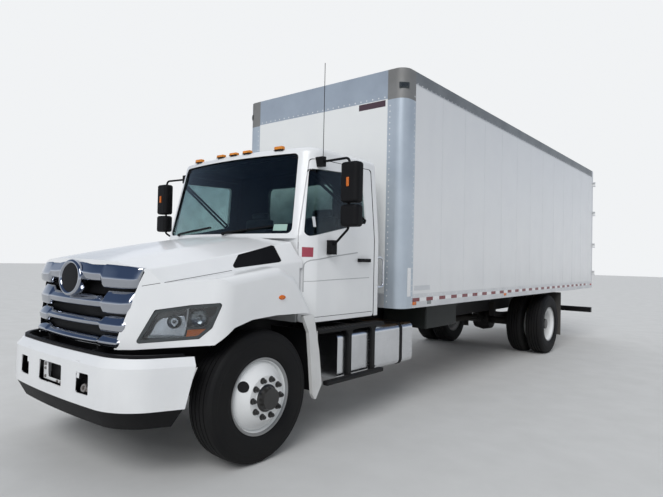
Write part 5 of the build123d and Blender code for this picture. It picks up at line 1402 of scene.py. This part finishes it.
# %% Boards, hangers and tread rings
STEP_IN, STEP_OUT, RAIL_OUT, ARM_OUT = 1139, 1200, 426, 1060
ARM_Z, HANGER_PLACES = 948, (1108, 1492)
HANGER = ((-24, 474), (24, 474), (24, 880), (34, 908), (62, 932), (62, 956), (-62, 956), (-62, 932),
          (-34, 908), (-24, 880))
step_parts = [
    block("upper", spot(1115, 1150, ARM_Z), (130, 1010, 36), 12, 4),
    block("lower", spot((STEP_IN + STEP_OUT) / 2, 1185, 490), (STEP_OUT - STEP_IN, 880, 40), 10, 4),
]
for behind in HANGER_PLACES:
    step_parts.append(slab("hanger", [spot(STEP_IN, behind + along, z) for along, z in HANGER],
                           Vector((0.024, 0, 0)), 0.0, 2))
    step_parts.append(block("arm", spot((RAIL_OUT + ARM_OUT) / 2, behind, ARM_Z),
                            (ARM_OUT - RAIL_OUT, 44, 34), 4))
steps = settle(joined("cab_steps_left", step_parts), finishes["step plastic"], "chassis", 40)
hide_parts("cab_steps")
settle(mirrored(steps, "cab_steps_right"), None, "chassis", 40)
TREAD_RING = [(0, 9), (3, 10), (4, 13), (3, 16), (0, 17), (0, 9)]
TREAD_ROWS = ((1085, 966, 680, 18), (1120, 966, 706, 18), (1155, 966, 680, 18), (1172, 510, 790, 15))
RING_STEP = 54
rings = []
for x, z, start, count in TREAD_ROWS:
    tread_ring = spun("ring", TREAD_RING, spot(x, start, z - 0.5), (0, 0, 1), 12)
    rings.append(row(tread_ring, count, (0, RING_STEP, 0)))
settle_pair(joined("step_tread_left", rings), finishes["axle paint"], "chassis", 40)

# %% [markdown]
# ## The back of the van body
# Each rear leaf closes on a rubber seal, and a lever on its lock rod turns cams into keepers at the
# sill and the header. The seals are tubes, the levers are flat bars with a grip, and a small block
# holds each one.

# %% Seals, levers and holders
WALL_TO_LEAF_FACE = 100
LEVER_Z = 1560
PIVOT = [(0, 0), (0, 26), (34, 26), (38, 20), (38, 0)]
REAR_FACE = (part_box("box_side_walls")[1].y - AXLE_Y) / MM + WALL_TO_LEAF_FACE
seals, hardware = [], []
for side, word in SIDES:
    corners = [(side * x, z) for x, z in ((10, 1252), (1146, 1252), (1146, 3482), (10, 3482))]
    seals.append(tube("seal", [spot(x, REAR_FACE + 1, z) for x, z in corners + corners[:1]], 7))
    hardware.append([
        block("lever", spot(side * 320, REAR_FACE + 34, LEVER_Z), (330, 9, 30), 3),
        block("grip", spot(side * 452, REAR_FACE + 33.5, LEVER_Z), (120, 20, 34), 8, 4),
        spun("pivot", PIVOT, spot(side * 160, REAR_FACE + 4, LEVER_Z), (0, 1, 0), 24),
        block("holder", spot(side * 470, REAR_FACE + 12, LEVER_Z - 30), (50, 24, 46), 4),
    ])
for (side, word), seal in zip(SIDES, seals):
    seal.name = f"rear_seal_{word}"
    settle(seal, finishes["seal rubber"], f"rear_door_{word}", 60)
for (side, word), parts in zip(SIDES, hardware):
    lever = joined(f"rear_lever_{word}", parts)
    settle(lever, finishes["polished aluminium"], f"rear_door_{word}", 40)

# %% [markdown]
# ## Seats
# Each seat has a cushion, a back and a headrest of foam under cloth. A pad starts as a rounded block
# a little smaller than the real one, its mesh is rebuilt in even cells, and the Cloth simulation
# blows it up a little, so that it swells between its seams as a filled cover does.


# %% Pads
PAD_CELL, PAD_PRESSURE, PAD_FRAMES = 0.012, 4.0, 15
PAD_SWELL = 0.014  # the cover gives no more than this


def pad(name, centre, size):
    """A stuffed pad of this size in millimetres."""
    piece = block(name, centre, size, 30, 5)
    modify(piece, "REMESH", mode="VOXEL", voxel_size=PAD_CELL)
    start = [vertex.co.copy() for vertex in piece.data.vertices]
    pick(piece)
    bpy.ops.object.modifier_add(type="CLOTH")
    cloth = piece.modifiers[-1]
    cloth.settings.use_pressure = True
    cloth.settings.uniform_pressure_force = PAD_PRESSURE
    cloth.settings.effector_weights.gravity = 0.0
    for number in range(1, PAD_FRAMES + 1):
        bpy.context.scene.frame_set(number)
    bpy.ops.object.modifier_apply(modifier=cloth.name)
    bpy.context.scene.frame_set(1)
    for vertex, before in zip(piece.data.vertices, start):
        moved = vertex.co - before
        if moved.length > PAD_SWELL:
            vertex.co = before + moved.normalized() * PAD_SWELL
    return modify(piece, "SUBSURF", levels=1, render_levels=1)


SEAT_X = 480
PADS = (  # name, place behind the front axle, height, size
    ("cushion", 1236, 1466, (450, 420, 96)), ("back", 1462, 1800, (440, 84, 480)),
    ("headrest", 1478, 2070, (260, 70, 84)),
)
for part, behind, z, size in PADS:
    seat_pad = pad(f"seat_{part}_left", spot(SEAT_X, behind, z), size)
    for piece in settle_pair(seat_pad, finishes["seat cloth"], "chassis", 60):
        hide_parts("seats")

# %% [markdown]
# ## Floor, light and camera
# The truck stands on a plain pale floor. A broad soft key light comes from the front left, and a
# weaker one from behind, so every side is lit and keeps a gentle shade. The backdrop is pale. What
# shines sees another one, pale at the horizon and dark blue above, as outdoors on a clear evening.

# %% Floor
deselect()
bpy.ops.mesh.primitive_plane_add(size=160)
floor = new_piece("floor")
floor.data.materials.append(finish("floor", (0.60, 0.60, 0.59), (0.57, 0.57, 0.56), 0.8, film=0.0,
                                   grain=60.0))
print("floor:", round(floor.dimensions.x), "m wide")


# %% Lamps
def soft_sun(name, towards, strength, wide):
    """A sun lamp seen in this direction, as wide as a large soft box."""
    bpy.ops.object.light_add(type="SUN")
    sun = new_piece(name)
    sun.data.energy = strength
    sun.data.angle = math.radians(wide)
    sun.rotation_euler = (-Vector(towards)).to_track_quat("-Z", "Y").to_euler()


soft_sun("key", (0.30, -0.68, 0.66), 1.62, 34)
soft_sun("fill", (-0.50, 0.62, 0.60), 0.55, 60)

# %% Sky
SKY = (  # height, colour of what shines back from there
    (0.0, (0.84, 0.86, 0.89, 1)), (0.05, (0.80, 0.83, 0.87, 1)), (0.14, (0.60, 0.65, 0.73, 1)),
    (0.26, (0.23, 0.29, 0.40, 1)), (0.42, (0.08, 0.12, 0.21, 1)), (1.0, (0.06, 0.09, 0.17, 1)),
)
world = bpy.data.worlds.new("sky")
bpy.context.scene.world = world
world.use_nodes = True
tree = world.node_tree
tree.nodes.clear()
direction = add(tree, "TexCoord").outputs["Generated"]
up = add(tree, "SeparateXYZ", None, direction).outputs["Z"]
ramp = add(tree, "ValToRGB", None, up)
ends = ramp.color_ramp.elements
ends[0].position, ends[0].color = SKY[0]
ends[1].position, ends[1].color = SKY[-1]
for place, colour in SKY[1:-1]:
    ramp.color_ramp.elements.new(place).color = colour
light = add(tree, "Background", None, (0.90, 0.94, 1.0, 1), 0.58)
plain = add(tree, "Background", None, (0.88, 0.895, 0.91, 1), 1.0)
dark = add(tree, "Background", None, ramp.outputs["Color"], 1.0)
rays = add(tree, "LightPath").outputs
either = add(tree, "Math", {"operation": "MAXIMUM"}, rays["Is Camera Ray"], rays["Is Transmission Ray"])
mixed = add(tree, "MixShader", None, either.outputs[0], light.outputs[0], plain.outputs[0])
mixed = add(tree, "MixShader", None, rays["Is Glossy Ray"], mixed.outputs[0], dark.outputs[0])
add(tree, "OutputWorld", None, mixed.outputs[0])
print("sky:", len(ramp.color_ramp.elements), "colours from the horizon up")

# %% [markdown]
# The camera stands where the photographer stood, left of the nose at chest height, and looks along
# the box. Its place, its turn and its lens were worked out from known sizes of the truck.

# %% Camera
CAMERA_PLACE = spot(4149.69, -2860.08, 1584.66)
YAW, PITCH, ROLL = -0.6842, 0.0198, 0.0210
forward = Vector((math.sin(YAW) * math.cos(PITCH), math.cos(YAW) * math.cos(PITCH), math.sin(PITCH)))
level = forward.cross(Vector((0, 0, 1))).normalized()
upright = level.cross(forward)
right = math.cos(ROLL) * level + math.sin(ROLL) * upright
above = -math.sin(ROLL) * level + math.cos(ROLL) * upright
bpy.ops.object.camera_add()
camera = bpy.context.object
camera.matrix_world = Matrix((right, above, -forward)).transposed().to_4x4()
camera.location = CAMERA_PLACE
camera.data.sensor_width = 36.0
camera.data.lens = 28.77
camera.data.clip_end = 400
bpy.context.scene.camera = camera
bpy.context.scene.view_settings.view_transform = "Standard"
print("camera at", [round(value, 3) for value in camera.location], "lens", camera.data.lens)
